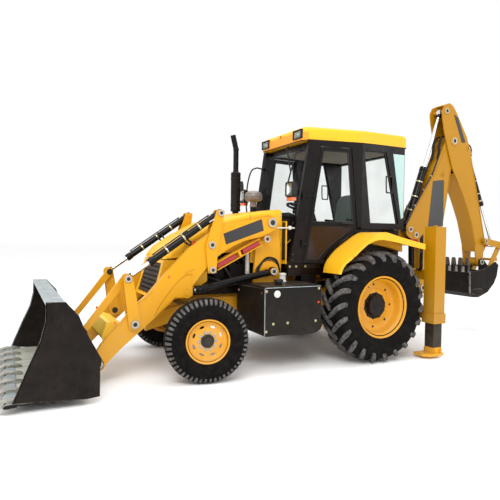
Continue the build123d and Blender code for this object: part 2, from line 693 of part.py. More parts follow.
def skin(pts, s, depth, inset=0.0, mode=Mode.ADD, shrink=0.0):
    """Side-wall panel of the front bay: (x, z) outline on the slanted wall."""
    dx, dy = SIDE_A[0] - SIDE_B[0], SIDE_A[1] - SIDE_B[1]
    n = hypot(dx, dy)
    c = dx / n
    pl = Plane(origin=(XA + SIDE_B[0] + inset * dy / n,
                       s * (SIDE_B[1] - inset * dx / n), 0),
               x_dir=(dx / n, s * dy / n, 0), z_dir=(s * dy / n, -dx / n, 0))
    with BuildSketch(pl) as k:
        with BuildLine():
            Polyline(*[((x - SIDE_B[0]) / c, z) for x, z in pts], close=True)
        make_face()
        if shrink > 0:
            offset(amount=-shrink, mode=Mode.REPLACE)
    # the plane's normal points to -Y
    extrude(k.sketch, amount=depth if s > 0 else -depth, mode=mode)


PILLAR_A = [(769, 1690), (626, 2620), (612, 2690), (776, 2690), (790, 2600),
            (930, 1690), (1010, 1190), (846, 1190)]
PILLAR_B = [(112, 1640), (206, 2620), (206, 2690), (62, 2690), (62, 1640)]
PILLAR_B2 = [(60, 1640), (60, 2690), (30, 2690), (30, 2620), (-90, 1640)]
PILLAR_C = [(-640, 1640), (-640, 2690), (-300, 2690), (-330, 2610),
            (-550, 1720), (-560, 1640)]
with BuildPart() as cab_frame:
    for s in (1, -1):
        skin(PILLAR_A, s, 60)
        skin(PILLAR_B, s, 60)
        plate(PILLAR_B2, s * 646, s * 706)
        plate(PILLAR_C, s * 646, s * 706)
        # header rails and waist rails
        skin([(60, 2620), (60, 2690), (700, 2690), (690, 2620)], s, 60)
        plate([(-640, 2610), (-640, 2690), (60, 2690), (60, 2610)],
              s * 646, s * 706)
        plate([(-640, 1620), (-640, 1690), (60, 1690), (60, 1620)],
              s * 646, s * 706)
        # hinge eyes and pins of the doors on the front pillars
        for z in (1430, 2010):
            with BuildSketch(level(z - 46)) as k:
                with Locations((858.0, s * 592.0)):
                    Circle(7)
            extrude(k.sketch, amount=92)
            for z0 in (z - 42, z + 18):
                with BuildSketch(level(z0)) as k2:
                    with Locations((858.0, s * 592.0)):
                        Circle(14)
                extrude(k2.sketch, amount=24)
                block(848, 868, s * 560, s * 590, z0, z0 + 24)
    # front header and scuttle
    wall([(-540, 2615), (540, 2615), (540, 2690), (-540, 2690)], 620, 700)
    wall([(-500, 1700), (500, 1700), (500, 1765), (-500, 1765)], 900, 935)
    # rear header and rear rail
    wall([(-650, 2610), (650, 2610), (650, 2690), (-650, 2690)], -640, -590)
    wall([(-650, 1620), (650, 1620), (650, 1690), (-650, 1690)], -640, -590)
cab_frame.part.label = "cab_frame"
export_step(cab_frame.part, "parts/cab_frame.step")

# floor, firewall, sills and inner wheel arches
with BuildPart() as cab_base:
    slab([(-640, -640), (60, -640), (1010, -482), (1010, 482), (60, 640),
          (-640, 640)], 1130, FLOOR_Z)
    for s in (1, -1):
        # sill with its bolt flange, running down to the step
        plate([(60, 1040), (1010, 1040), (1010, 1180), (60, 1180)],
              s * 484, s * 524)
        # wheel arch box beside the seat
        plate([(-640, 1180), (-640, 1618), (60, 1618), (95, 1576),
               (200, 1512), (298, 1448), (380, 1388), (452, 1328),
               (523, 1246), (560, 1180)], s * 600, s * 622)
    # rear wall below the window
    wall([(-620, 1180), (620, 1180), (620, 1618), (-620, 1618)], -640, -620)
    # cab mounts on the chassis
    for x in (-560, 700):
        for s in (1, -1):
            block(x - 50, x + 50, s * 270, s * 345, 822 if x < 0 else 801,
                  1132)
    # seat pedestal
    block(-300, 60, -180, 180, FLOOR_Z, 1480)
cab_base.part.label = "cab_base"
export_step(cab_base.part, "parts/cab_base.step")

with BuildPart() as cab_roof:
    slab([(-662, -700), (-662, 700), (-120, 706), (60, 700), (770, 560),
          (830, 500), (830, -500), (770, -560), (60, -700), (-120, -706)],
         2691, 2861)
    fillet(cab_roof.faces().sort_by(Axis.Z)[-1].edges(), 60)
    block(560, 815, -470, 470, 2690, 2700, mode=Mode.SUBTRACT)
cab_roof.part.label = "cab_roof"
export_step(cab_roof.part, "parts/cab_roof.step")

# fixed panes: windscreen, corner panes, rear quarter panes, rear window
with BuildPart() as cab_glass:
    plate([(918, 1768), (924, 1768), (788, 2612), (782, 2612)], -498, 498)
    for s in (1, -1):
        wall([(s * 412, 1230), (s * 478, 1230), (s * 478, 1690),
              (s * 412, 1690)], 1034, 1040)
        plate([(-86, 1694), (18, 2606), (-322, 2606), (-545, 1694)],
              s * 672, s * 678)
    wall([(-640, 1694), (640, 1694), (640, 2606), (-640, 2606)], -622, -616)
cab_glass.part.label = "cab_glass"
export_step(cab_glass.part, "parts/cab_glass.step")

# doors, hung on the front pillars: frame and two panes
DOOR = [(618, 2612), (760, 1690), (836, 1196), (588, 1196), (552, 1262),
        (477, 1350), (402, 1412), (312, 1474), (220, 1536), (160, 1580),
        (122, 1604), (214, 2612)]
PANE_UP = [(583, 2570), (716, 1700), (170, 1700), (252, 2570)]
PANE_LOW = [(726, 1648), (788, 1240), (632, 1240), (592, 1290), (512, 1380),
            (432, 1444), (345, 1506), (262, 1562), (190, 1612), (172, 1648)]
DOOR_AXIS = (858.0, 592.0)
for s, name in ((1, "left"), (-1, "right")):
    with BuildPart() as door:
        skin(DOOR, s, 36, inset=6)
        skin(PANE_UP, s, 80, inset=-10, mode=Mode.SUBTRACT)
        skin(PANE_LOW, s, 80, inset=-10, mode=Mode.SUBTRACT)
        # two strap hinges reaching over the front pillar to their pins
        for z, x0, x1 in ((1430, 770, 806), (2010, 676, 716)):
            w0, w1 = side_y(x0), side_y(x1)
            slab([(x0, s * (w0 - 12)), (x1 - 2, s * (w1 - 12)),
                  (x1 + 2, s * (w1 + 6)), (850, s * 586), (850, s * 598),
                  (x1, s * (w1 + 17)), (x0, s * (w0 + 13))],
                 z - 13, z + 13)
            with BuildSketch(level(z - 15)) as k:
                with Locations((DOOR_AXIS[0], s * DOOR_AXIS[1])):
                    Circle(14)
            extrude(k.sketch, amount=30)
            with BuildSketch(level(z - 20)) as k2:
                with Locations((DOOR_AXIS[0], s * DOOR_AXIS[1])):
                    Circle(7 + RUN)
            extrude(k2.sketch, amount=40, mode=Mode.SUBTRACT)
    door.part.label = f"door_{name}"
    export_step(door.part, f"parts/door_{name}.step")
    with BuildPart() as pane:
        skin(PANE_UP, s, 6, inset=20, shrink=2)
        skin(PANE_LOW, s, 6, inset=20, shrink=2)
    pane.part.label = f"door_glass_{name}"
    export_step(pane.part, f"parts/door_glass_{name}.step")

# mudguards over the rear wheels
GUARD = [(600, 1085), (592, 1130), (577, 1178), (560, 1216), (535, 1250),
         (500, 1292), (462, 1333), (426, 1366), (388, 1396), (345, 1427),
         (299, 1458), (254, 1489), (207, 1520), (162, 1547), (115, 1567),
         (68, 1578), (20, 1580), (-25, 1573), (-75, 1560), (-200, 1528),
         (-404, 1485), (-628, 1440)]
with BuildPart() as mudguards:
    for s in (1, -1):
        sheet = thick(GUARD[::-1], -26)
        under = sheet[len(GUARD):]
        plate(sheet, s * 712, s * 1110)
        # inner side plate against the cab
        plate(under + [(-628, 1330), (-404, 1385), (-200, 1420), (0, 1450),
                       (180, 1430), (300, 1385), (400, 1320), (480, 1250),
                       (530, 1180), (556, 1120)], s * 626, s * 712)
        # turned-down outer lip
        plate(under[10:] + [(-628, 1372), (-449, 1405), (-204, 1453),
                            (32, 1488), (110, 1488), (184, 1474)],
              s * 1086, s * 1110)
        # rounded outer corner at the front
        slab([(640, s * 930), (640, s * 1120), (430, s * 1120),
              (500, s * 1080), (560, s * 1010)], 1000, 1300,
             mode=Mode.SUBTRACT)
mudguards.part.label = "mudguards"
export_step(mudguards.part, "parts/mudguards.step")

# seat, steering column with wheel, rear console
with BuildPart() as seat:
    block(-290, 210, -240, 240, 1482, 1620)
    plate([(-290, 1622), (-190, 1622), (-260, 2110), (-340, 2110)], -230, 230)
seat.part.label = "seat"
export_step(seat.part, "parts/seat.step")

with BuildPart() as controls:
    bar((640, 0, FLOOR_Z + 14), (560, 0, 1760), 55)
    block(560, 720, -70, 70, FLOOR_Z + 1, FLOOR_Z + 30)
    bar((560, 0, 1750), (520, 0, 1890), 24)
    with BuildSketch(Plane(origin=(XA + 520, 0, 1890),
                           z_dir=Vector(-40, 0, 140))) as k:
        Circle(195)
        Circle(172, mode=Mode.SUBTRACT)
        Rectangle(350, 30)
        Rectangle(30, 350)
    extrude(k.sketch, amount=22)
    # side console and rear console with the two backhoe levers
    block(-420, 300, -590, -300, FLOOR_Z, 1640)
    block(-600, -460, -430, 430, FLOOR_Z, 1600)
    for y in (-160, 160):
        bar((-530, y, 1600), (-500, y, 1850), 14)
controls.part.label = "controls"
export_step(controls.part, "parts/controls.step")

# head lamps on brackets outside the front pillars
with BuildPart() as head_lamps:
    for s in (1, -1):
        block(1000, 1090, s * 560, s * 720, 1960, 2130)
        bar((905, s * 560, 1990), (1010, s * 600, 1990), 14)
        block(1010, 1080, s * 560, s * 720, 2132, 2190)
head_lamps.part.label = "head_lamps"
export_step(head_lamps.part, "parts/head_lamps.step")


# ------------------------------------------------------------ rear frame
# two leg tubes joined by an upper and a lower beam, with guide bars behind
with BuildPart() as rear_frame:
    for s in (1, -1):
        with BuildSketch(level(457)) as k:
            with Locations((LEG_X, s * LEG_Y)):
                Rectangle(180, 180)
                Rectangle(152, 152, mode=Mode.SUBTRACT)
        extrude(k.sketch, amount=1188)
        block(LEG_X - 90, LEG_X + 90, s * LEG_Y - 90, s * LEG_Y + 90, 1645,
              1657)
        # collar round the tube's lower end
        with BuildSketch(level(440)) as k:
            with Locations((LEG_X, s * LEG_Y)):
                Rectangle(204, 204)
                Rectangle(152, 152, mode=Mode.SUBTRACT)
        extrude(k.sketch, amount=124)
        # arms from the beams to the chassis rails
        plate([(-950, 500), (-600, 580), (-600, 720), (-740, 1040),
               (-950, 1090)], s * 345, s * 375)
    block(-950, -750, -997, 997, 980, 1100)
    block(-950, -750, -997, 997, 480, 600)
    for y in (-640, 0, 640):
        block(-940, -780, y - 15, y + 15, 600, 980)
    block(-1000, -950, -990, 990, 1025, 1080)
    block(-1000, -950, -990, 990, 500, 555)
rear_frame.part.label = "rear_frame"
export_step(rear_frame.part, "parts/rear_frame.step")

for s, name in ((1, "left"), (-1, "right")):
    with BuildPart() as leg:
        block(LEG_X - 71, LEG_X + 71, s * LEG_Y - 71, s * LEG_Y + 71, 60, 1240)
        # foot plate, longer towards the wheel
        slab([(-905, s * (LEG_Y - 120)), (-905, s * (LEG_Y + 95)),
              (-680, s * (LEG_Y + 95)), (-612, s * (LEG_Y + 30)),
              (-612, s * (LEG_Y - 120))], 30, 62)
        for x in (-870, -770):
            block(x - 8, x + 8, s * LEG_Y - 95, s * LEG_Y + 90, 62, 120)
    leg.part.label = f"leg_{name}"
    export_step(leg.part, f"parts/leg_{name}.step")

# sideshift carriage with the two slew ears
with BuildPart() as carriage:
    block(-1034, -1006, -230, 230, 470, 1112)
    block(-1006, -968, -230, 230, 1086, 1112)
    block(-1006, -968, -230, 230, 470, 494)
    for z in (560, 880):
        slab([(-1030, -200), (-1030, 200), (-1130, 160), (-1206, 80),
              (-1360, 80), (-1360, -80), (-1206, -80), (-1130, -160)],
             z, z + 50)
        bar((SLEW_X, 0, z), (SLEW_X, 0, z + 50), 80)
        bar((SLEW_X, 0, z - 5), (SLEW_X, 0, z + 55), 45 + RUN,
            mode=Mode.SUBTRACT)
    for y in (-120, 120):
        block(-1110, -1030, y - 10, y + 10, 610, 880)
carriage.part.label = "carriage"
export_step(carriage.part, "parts/carriage.step")

# kingpost: slew pins, column, two cheeks for boom foot and boom ram
KING_Y0, KING_Y1 = 114.0, 140.0
CHEEK_K = [(-1385, 640), (-1560, 640), (-1600, 665), (-1660, 690),
           (-1697, 760), (-1660, 850), (-1560, 900), (-1550, 1000),
           (-1500, 1022), (-1455, 985), (-1450, 880), (-1385, 860)]
with BuildPart() as kingpost:
    bar((SLEW_X, 0, 545), (SLEW_X, 0, 945), 45)
    bar((SLEW_X, 0, 618), (SLEW_X, 0, 872), 80)
    block(-1436, -1380, -KING_Y1, KING_Y1, 640, 860)
    for s in (1, -1):
        plate(CHEEK_K, s * KING_Y0, s * KING_Y1)
    disc(BOOM_FOOT, 40, -152, 152)
    disc(BOOM_RAM_BASE, 28, -148, 148)
kingpost.part.label = "kingpost"
export_step(kingpost.part, "parts/kingpost.step")

# boom: two side plates with the knuckle lugs, box core between them
BOOM = [(-1288, 1690), (-1288, 1572), (-1340, 1525), (-1440, 1475),
        (-1545, 1370), (-1555, 1000), (-1528, 790), (-1550, 705),
        (-1600, 682), (-1655, 705), (-1680, 790), (-1790, 1180),
        (-1960, 1500), (-2020, 1671), (-2110, 2200), (-2190, 2700),
        (-2300, 2960), (-2300, 3060), (-2217, 3118), (-2130, 3090),
        (-2040, 2983), (-1807, 2480), (-1444, 1953)]
CORE = [(-1660, 800), (-1575, 800), (-1575, 1400), (-1650, 2000),
        (-1850, 2480), (-2040, 2880), (-2190, 2840), (-2170, 2690),
        (-2100, 2200), (-2008, 1671), (-1948, 1506), (-1780, 1190)]
with BuildPart() as boom:
    for s in (1, -1):
        plate(BOOM, s * 88, s * 104)
    plate(CORE, -88, 88)
    disc(BOOM_FOOT, 76, -104, 104)
    disc(DIPPER_PIVOT, 84, -104, 104)
    plate([(-2140, 2800), (-2060, 2860), (-2150, 3060), (-2270, 3020),
           (-2230, 2830)], -88, 88)
    disc(BOOM_FOOT, 40 + RUN, -110, 110, mode=Mode.SUBTRACT)
    disc(DIPPER_PIVOT, 38 + RUN, -110, 110, mode=Mode.SUBTRACT)
    # pin of the dipper ram's base; the boom ram's pin is two stubs
    disc(DIPPER_RAM_BASE, 28, -112, 112)
    # relief for the lifting ram's barrel at full height
    disc((-1526, 768), 30, -48, 48, mode=Mode.SUBTRACT)
    for s in (1, -1):
        disc(BOOM_RAM_PIN, 28, s * 40, s * 110)
boom.part.label = "boom"
export_step(boom.part, "parts/boom.step")

# dipper: cheeks, back and front plates, pins
DIP = [(-2096, 3606), (-1990, 3560), (-1942, 3470), (-1952, 3365),
       (-2002, 3136), (-2100, 2840), (-2190, 2600), (-2416, 2230),
       (-2621, 1797), (-2740, 1420), (-2782, 1130), (-2810, 1070),
       (-2860, 1052), (-2915, 1075), (-2938, 1130), (-2950, 1330),
       (-2978, 1450), (-2972, 1500), (-2828, 2034), (-2579, 2905),
       (-2488, 3123), (-2257, 3464), (-2180, 3560)]
with BuildPart() as dipper:
    for s in (1, -1):
        plate(DIP, s * 112, s * 130)
        # lugs for the bucket ram on the back plate
        plate([(-2560, 2980), (-2660, 2950), (-2690, 2890), (-2660, 2840),
               (-2600, 2790)], s * 50, s * 66)
        disc(DIPPER_TAIL, 30, s * 44, s * 138)
        disc(ROCKER_PIN, 25, s * 100, s * 200)
        disc(ROCKER_PIN, 38, s * 195, s * 204)
    plate(thick([(-2096, 3606), (-2180, 3560), (-2257, 3464), (-2488, 3123),
                 (-2579, 2905), (-2828, 2034), (-2960, 1530)], 16),
          -112, 112)
    plate(thick([(-2766, 1300), (-2740, 1420), (-2621, 1797),
                 (-2416, 2230), (-2235, 2530)], 16), -112, 112)
    plate([(-2960, 1530), (-2766, 1300), (-2758, 1330), (-2948, 1556)],
          -112, 112)
    disc(DIPPER_PIVOT, 38, -136, 136)
    disc(HOE_RAM_BASE, 26, -72, 72)
    disc(HOE_PIVOT, 72, -130, 130)
    disc(HOE_PIVOT, 30 + RUN, -140, 140, mode=Mode.SUBTRACT)
dipper.part.label = "dipper"
export_step(dipper.part, "parts/dipper.step")

# bucket lever and link behind the dipper's tip
with BuildPart() as hoe_rocker:
    for s in (1, -1):
        link(ROCKER_PIN, 48, HOE_RAM_PIN, 52, s * 178, s * 194)
        disc(HOE_RAM_PIN, 26, s * 40, s * 200)
        disc(HOE_RAM_PIN, 38, s * 195, s * 206)
    for s in (1, -1):
        disc(ROCKER_PIN, 25 + RUN, s * 170, s * 204, mode=Mode.SUBTRACT)
hoe_rocker.part.label = "hoe_rocker"
export_step(hoe_rocker.part, "parts/hoe_rocker.step")

with BuildPart() as hoe_link:
    for s in (1, -1):
        link(HOE_RAM_PIN, 46, HOE_LINK_PIN, 46, s * 134, s * 150)
        disc(HOE_RAM_PIN, 26 + RUN, s * 130, s * 156, mode=Mode.SUBTRACT)
    # cross tie between the two bars
    disc(((HOE_RAM_PIN[0] + HOE_LINK_PIN[0]) / 2 - 60,
          (HOE_RAM_PIN[1] + HOE_LINK_PIN[1]) / 2 - 32), 20, -134, 134)
    for s in (1, -1):
        plate([((HOE_RAM_PIN[0] + HOE_LINK_PIN[0]) / 2 + dx,
                (HOE_RAM_PIN[1] + HOE_LINK_PIN[1]) / 2 + dz)
               for dx, dz in ((-70, -60), (-80, -10), (20, 60), (40, 0))],
              s * 134, s * 150)
hoe_link.part.label = "hoe_link"
export_step(hoe_link.part, "parts/hoe_link.step")

# digging bucket: side plates, shell, ears, teeth
HOE_CHEEK = [(-2425, 1000), (-2440, 650), (-2520, 592), (-2654, 586),
             (-2853, 655), (-3000, 790), (-3065, 910), (-3097, 1087),
             (-3029, 1140), (-2900, 1085), (-2763, 1030), (-2600, 1000)]
HOE_SHELL = [(-2418, 1030), (-2434, 650), (-2518, 586), (-2656, 580),
             (-2857, 649), (-3004, 786), (-3068, 880), (-2790, 1005)]
HOE_EAR = [(-2800, 990), (-2802, 1120), (-2815, 1172), (-2860, 1192),
           (-2900, 1178), (-3020, 1060), (-3100, 1040), (-3115, 985),
           (-3085, 942), (-3060, 900), (-3050, 870)]
with BuildPart() as hoe_bucket:
    for s in (1, -1):
        plate(HOE_CHEEK, s * (HOE_HALF - 14), s * HOE_HALF)
        plate(HOE_EAR, s * 156, s * 174, r=6)
        disc(HOE_LINK_PIN, 40, s * 152, s * 156)
    plate(thick(HOE_SHELL, -12), -(HOE_HALF - 14), HOE_HALF - 14)
    # cutting edge and teeth
    plate([(-2408, 980), (-2436, 980), (-2432, 1068), (-2416, 1076)],
          -HOE_HALF, HOE_HALF)
    for i in range(5):
        y = -260 + i * 130
        plate([(-2402, 990), (-2396, 1075), (-2404, 1200), (-2414, 1206),
               (-2424, 1200), (-2444, 1075), (-2440, 990)], y - 28, y + 28)
    disc(HOE_PIVOT, 30, -178, 178)
hoe_bucket.part.label = "hoe_bucket"
export_step(hoe_bucket.part, "parts/hoe_bucket.step")

# backhoe rams: name, barrel eye, rod eye, barrel radius, rod radius, pin at
# the barrel's eye, barrel length, rod length
HOE_RAMS = [
    dict(name="boom_ram", a=BOOM_RAM_BASE, b=BOOM_RAM_PIN, r=42.0, rr=24.0,
         pin=28.0, lb=548.0, lr=494.0, eb=46.0, er=40.0, pb=0.0),
    dict(name="dipper_ram", a=DIPPER_RAM_BASE, b=DIPPER_TAIL, r=52.0, rr=28.0,
         pin=28.0, lb=1019.0, lr=1010.0, eb=50.0, er=46.0, pb=0.0),
    dict(name="hoe_bucket_ram", a=HOE_RAM_BASE, b=HOE_RAM_PIN, r=45.0,
         rr=24.0, pin=26.0, lb=910.0, lr=960.0, eb=46.0, er=42.0, pb=1.0),
]
for q in HOE_RAMS:
    with BuildPart() as cyl:
        barrel(q["a"], q["b"], 0.0, q["r"], q["rr"], q["pin"], q["lb"],
               eye=q["eb"], half=36)
    cyl.part.label = f"{q['name']}_barrel"
    export_step(cyl.part, f"parts/{q['name']}_barrel.step")
    with BuildPart() as piston:
        rod(q["b"], q["a"], 0.0, q["rr"], q["lr"], eye=q["er"], half=34)
    piston.part.label = f"{q['name']}_rod"
    export_step(piston.part, f"parts/{q['name']}_rod.step")
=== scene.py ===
import bpy, bmesh, math
from math import sin, cos, pi, radians, hypot, atan2, sqrt
from mathutils import Vector, Matrix


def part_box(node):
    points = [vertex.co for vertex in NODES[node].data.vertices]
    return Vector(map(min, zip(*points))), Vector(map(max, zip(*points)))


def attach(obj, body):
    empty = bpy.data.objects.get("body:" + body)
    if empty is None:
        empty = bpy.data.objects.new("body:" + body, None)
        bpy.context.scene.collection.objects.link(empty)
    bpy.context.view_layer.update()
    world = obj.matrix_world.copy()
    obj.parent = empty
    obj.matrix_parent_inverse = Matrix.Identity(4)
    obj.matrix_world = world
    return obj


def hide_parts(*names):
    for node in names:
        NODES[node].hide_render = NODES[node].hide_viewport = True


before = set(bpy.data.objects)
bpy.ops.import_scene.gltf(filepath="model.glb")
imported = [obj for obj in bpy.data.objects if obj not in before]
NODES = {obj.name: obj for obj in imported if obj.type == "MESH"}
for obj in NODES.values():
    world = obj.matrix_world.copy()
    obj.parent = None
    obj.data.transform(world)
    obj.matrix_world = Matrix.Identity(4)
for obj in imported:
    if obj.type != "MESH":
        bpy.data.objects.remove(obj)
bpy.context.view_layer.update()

_lo, _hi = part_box("rear_tyre_left")
AX = (_lo.x + _hi.x) / 2          # rear axle's X; lengths below are mm from it


def M(x, y, z):
    return Vector((x / 1000 + AX, y / 1000, z / 1000))


# =====================================================================
# materials
# =====================================================================
def srgb(r, g, b):
    f = lambda c: (c / 255 / 12.92) if c / 255 <= 0.04045 else ((c / 255 + 0.055) / 1.055) ** 2.4
    return (f(r), f(g), f(b), 1.0)


class Mat:
    """A node material built step by step: colour chain, roughness, bump."""

    def __init__(self, name, col, rough=0.5, metal=0.0, coat=0.0, spec=0.5):
        self.m = bpy.data.materials.new(name)
        self.m.use_nodes = True
        self.t = self.m.node_tree
        self.b = self.t.nodes["Principled BSDF"]
        self.b.inputs["Metallic"].default_value = metal
        self.b.inputs["Coat Weight"].default_value = coat
        self.b.inputs["Coat Roughness"].default_value = 0.12
        self.b.inputs["Specular IOR Level"].default_value = spec
        self.co = self.n("ShaderNodeTexCoord").outputs["Object"]
        self.col = tuple(col)
        self.rough = float(rough)
        self.height = None

    def feed(self, v, sock):
        """Link a socket, or set a plain number or colour on the input."""
        if isinstance(v, (int, float, tuple)):
            sock.default_value = v
        else:
            self.link(v, sock)

    def n(self, kind, **kw):
        x = self.t.nodes.new(kind)
        for k, v in kw.items():
            setattr(x, k, v)
        return x

    def link(self, a, b):
        self.t.links.new(a, b)

    def noise(self, scale, detail=4.0, rough=0.55, stretch=None, dist=0.0):
        nz = self.n("ShaderNodeTexNoise")
        nz.inputs["Scale"].default_value = scale
        nz.inputs["Detail"].default_value = detail
        nz.inputs["Roughness"].default_value = rough
        nz.inputs["Distortion"].default_value = dist
        if stretch:
            mp = self.n("ShaderNodeMapping")
            mp.inputs["Scale"].default_value = stretch
            self.link(self.co, mp.inputs["Vector"])
            self.link(mp.outputs[0], nz.inputs["Vector"])
        else:
            self.link(self.co, nz.inputs["Vector"])
        return nz.outputs[0]

    def ramp(self, fac, stops):
        r = self.n("ShaderNodeValToRGB")
        els = r.color_ramp.elements
        while len(els) > 1:
            els.remove(els[-1])
        els[0].position, els[0].color = stops[0][0], (stops[0][1],) * 3 + (1,)
        for p, v in stops[1:]:
            e = els.new(p)
            e.color = (v, v, v, 1)
        self.link(fac, r.inputs[0])
        return r.outputs[0]

    def math(self, op, a, b=None):
        x = self.n("ShaderNodeMath", operation=op)
        for i, v in enumerate((a, b)):
            if v is None:
                continue
            if isinstance(v, (int, float)):
                x.inputs[i].default_value = v
            else:
                self.link(v, x.inputs[i])
        return x.outputs[0]

    def over(self, col, fac, rough=None, blend="MIX"):
        """Lay a colour (and roughness) over what is there, where fac is 1."""
        x = self.n("ShaderNodeMix", data_type="RGBA", blend_type=blend)
        self.link(fac, x.inputs[0])
        self.feed(self.col, x.inputs[6])
        self.feed(col, x.inputs[7])
        self.col = x.outputs[2]
        if rough is not None:
            y = self.n("ShaderNodeMix", data_type="FLOAT")
            self.link(fac, y.inputs[0])
            self.feed(self.rough, y.inputs[2])
            y.inputs[3].default_value = rough
            self.rough = y.outputs[0]
        return self

    def vary(self, scale=6, amount=0.25, tint=(0, 0, 0, 1)):
        f = self.ramp(self.noise(scale, 5), [(0.3, 0.0), (0.75, amount)])
        return self.over(tint, f)

    def axis(self, i):
        s = self.n("ShaderNodeSeparateXYZ")
        self.link(self.co, s.inputs[0])
        return s.outputs[i]

    def up(self):
        g = self.n("ShaderNodeNewGeometry")
        s = self.n("ShaderNodeSeparateXYZ")
        self.link(g.outputs["Normal"], s.inputs[0])
        return s.outputs[2]

    def between(self, value, a, b):
        """0 below a, 1 above b (or reversed when a > b)."""
        x = self.n("ShaderNodeMapRange")
        x.clamp = True
        self.link(value, x.inputs[0])
        x.inputs[1].default_value = a
        x.inputs[2].default_value = b
        return x.outputs[0]

    def dust_and_top_highlight(self, amount=0.35, col=None, top=True, low=0.0):
        """Pale dust on upper faces (also used as a painted highlight on upper faces), and a film that grows towards the
        ground.
        """
        col = col or srgb(176, 160, 132)
        nz = self.ramp(self.noise(11, 6, 0.65), [(0.35, 0.25), (0.7, 1.0)])
        if top:
            f = self.math("MULTIPLY", self.between(self.up(), 0.55, 1.0), amount)
            f = self.math("MULTIPLY", f, nz)
            self.over(col, f, 0.75)
        if low > 0:
            f = self.math("MULTIPLY", self.between(self.axis(2), 1.1, 0.15), low)
            f = self.math("MULTIPLY", f, nz)
            self.over(col, f, 0.8)
        return self

    def chips(self, col, level=0.66, scale=34, rough=0.5, edge=0.012):
        f = self.ramp(self.noise(scale, 8, 0.62), [(level, 0.0), (level + edge, 1.0)])
        return self.over(col, f, rough)

    def edges(self, col, width=0.006, gain=1.0, rough=0.45):
        """Worn edges: where a rounded normal leaves the face's own."""
        bv = self.n("ShaderNodeBevel", samples=4)
        bv.inputs["Radius"].default_value = width
        g = self.n("ShaderNodeNewGeometry")
        d = self.n("ShaderNodeVectorMath", operation="DOT_PRODUCT")
        self.link(bv.outputs[0], d.inputs[0])
        self.link(g.outputs["Normal"], d.inputs[1])
        e = self.between(d.outputs["Value"], 0.985, 0.86)
        nz = self.ramp(self.noise(26, 6, 0.7), [(0.42, 0.0), (0.6, 1.0)])
        f = self.math("MULTIPLY", self.math("MULTIPLY", e, nz), gain)
        return self.over(col, f, rough)

    def grain(self, scale=220, depth=0.0004, detail=3, stretch=None):
        h = self.math("MULTIPLY", self.noise(scale, detail, 0.6, stretch), depth)
        self.height = h if self.height is None else self.math("ADD", self.height, h)
        return self

    def bump_from(self, h, depth):
        h = self.math("MULTIPLY", h, depth)
        self.height = h if self.height is None else self.math("ADD", self.height, h)
        return self

    def rough_vary(self, scale=9, lo=-0.08, hi=0.1):
        x = self.n("ShaderNodeMapRange")
        self.link(self.noise(scale, 5), x.inputs[0])
        x.inputs[1].default_value, x.inputs[2].default_value = 0.3, 0.7
        x.inputs[3].default_value, x.inputs[4].default_value = lo, hi
        self.rough = self.math("ADD", self.rough, x.outputs[0])
        return self

    def done(self):
        self.feed(self.col, self.b.inputs["Base Color"])
        if isinstance(self.rough, float):
            self.b.inputs["Roughness"].default_value = self.rough
        else:
            c = self.n("ShaderNodeClamp")
            self.link(self.rough, c.inputs[0])
            c.inputs[1].default_value, c.inputs[2].default_value = 0.03, 1.0
            self.link(c.outputs[0], self.b.inputs["Roughness"])
        if self.height is not None:
            bp = self.n("ShaderNodeBump")
            bp.inputs["Strength"].default_value = 1.0
            bp.inputs["Distance"].default_value = 1.0
            self.link(self.height, bp.inputs["Height"])
            self.link(bp.outputs[0], self.b.inputs["Normal"])
        return self.m


YEL = srgb(212, 150, 8)
YEL_D = srgb(196, 118, 8)
PRIMER = srgb(92, 84, 74)
RUST = srgb(104, 62, 34)
DARK = srgb(30, 25, 24)


def paint(name, col=YEL, low=0.22, top=0.16, edge=0.35):
    m = Mat(name, col, 0.38, coat=0.08, spec=0.26)
    m.vary(2.2, 0.22, (col[0] * 0.72, col[1] * 0.62, col[2] * 0.4, 1))
    m.vary(14, 0.10, (col[0] * 1.05, col[1] * 1.12, col[2] * 1.6, 1))
    m.over(srgb(120, 76, 20), m.math("MULTIPLY", m.ramp(m.noise(3.5, 7, 0.7, (1, 1, 0.25)), [(0.58, 0), (0.72, 1)]), 0.14), 0.55)
    m.edges(srgb(126, 98, 58), 0.005, edge)
    m.chips(PRIMER, 0.735, 42)
    m.dust_and_top_highlight(top, low=low)
    m.rough_vary(7, -0.06, 0.14)
    m.grain(160, 0.00008)
    m.grain(24, 0.00022, 2)
    return m.done()


paint_y = paint("paint_yellow")
paint_hood = paint("paint_bonnet", srgb(232, 174, 30), low=0.05, top=0.1, edge=0.15)
paint_arm = paint("paint_arm", srgb(214, 152, 8), low=0.2, top=0.14, edge=0.4)
paint_rear = paint("paint_backhoe", srgb(172, 121, 2), low=0.2, top=0.14, edge=0.35)
paint_rim = paint("paint_rim", srgb(214, 150, 12), low=0.3, top=0.1, edge=0.4)


def black(name, col=DARK, rough=0.42, low=0.1, top=0.2, edge=0.3, coat=0.1):
    col = (col[0] * 0.2, col[1] * 0.17, col[2] * 0.17, 1)
    m = Mat(name, col, rough, coat=coat * 0.15, spec=0.16)
    m.vary(3.0, 0.4, (col[0] * 3.2, col[1] * 2.7, col[2] * 2.3, 1))
    m.edges(srgb(120, 112, 104), 0.004, edge)
    m.dust_and_top_highlight(top, srgb(134, 120, 102), low=low)
    m.rough_vary(8, -0.08, 0.16)
    m.grain(190, 0.0001)
    return m.done()


paint_k = black("paint_black")
cab_k = black("cab_paint", srgb(34, 29, 29), 0.3, low=0.06, top=0.2, edge=0.12, coat=0.35)
panel_k = black("cab_lower_panel", srgb(44, 30, 24), 0.26, low=0.12, top=0.2, edge=0.12, coat=0.4)
barrel_k = black("ram_barrel", srgb(27, 27, 31), 0.26, low=0.08, top=0.12, edge=0.1, coat=0.5)
engine_k = black("engine_iron", srgb(40, 36, 33), 0.62, low=0.3, top=0.5, edge=0.25, coat=0.0)

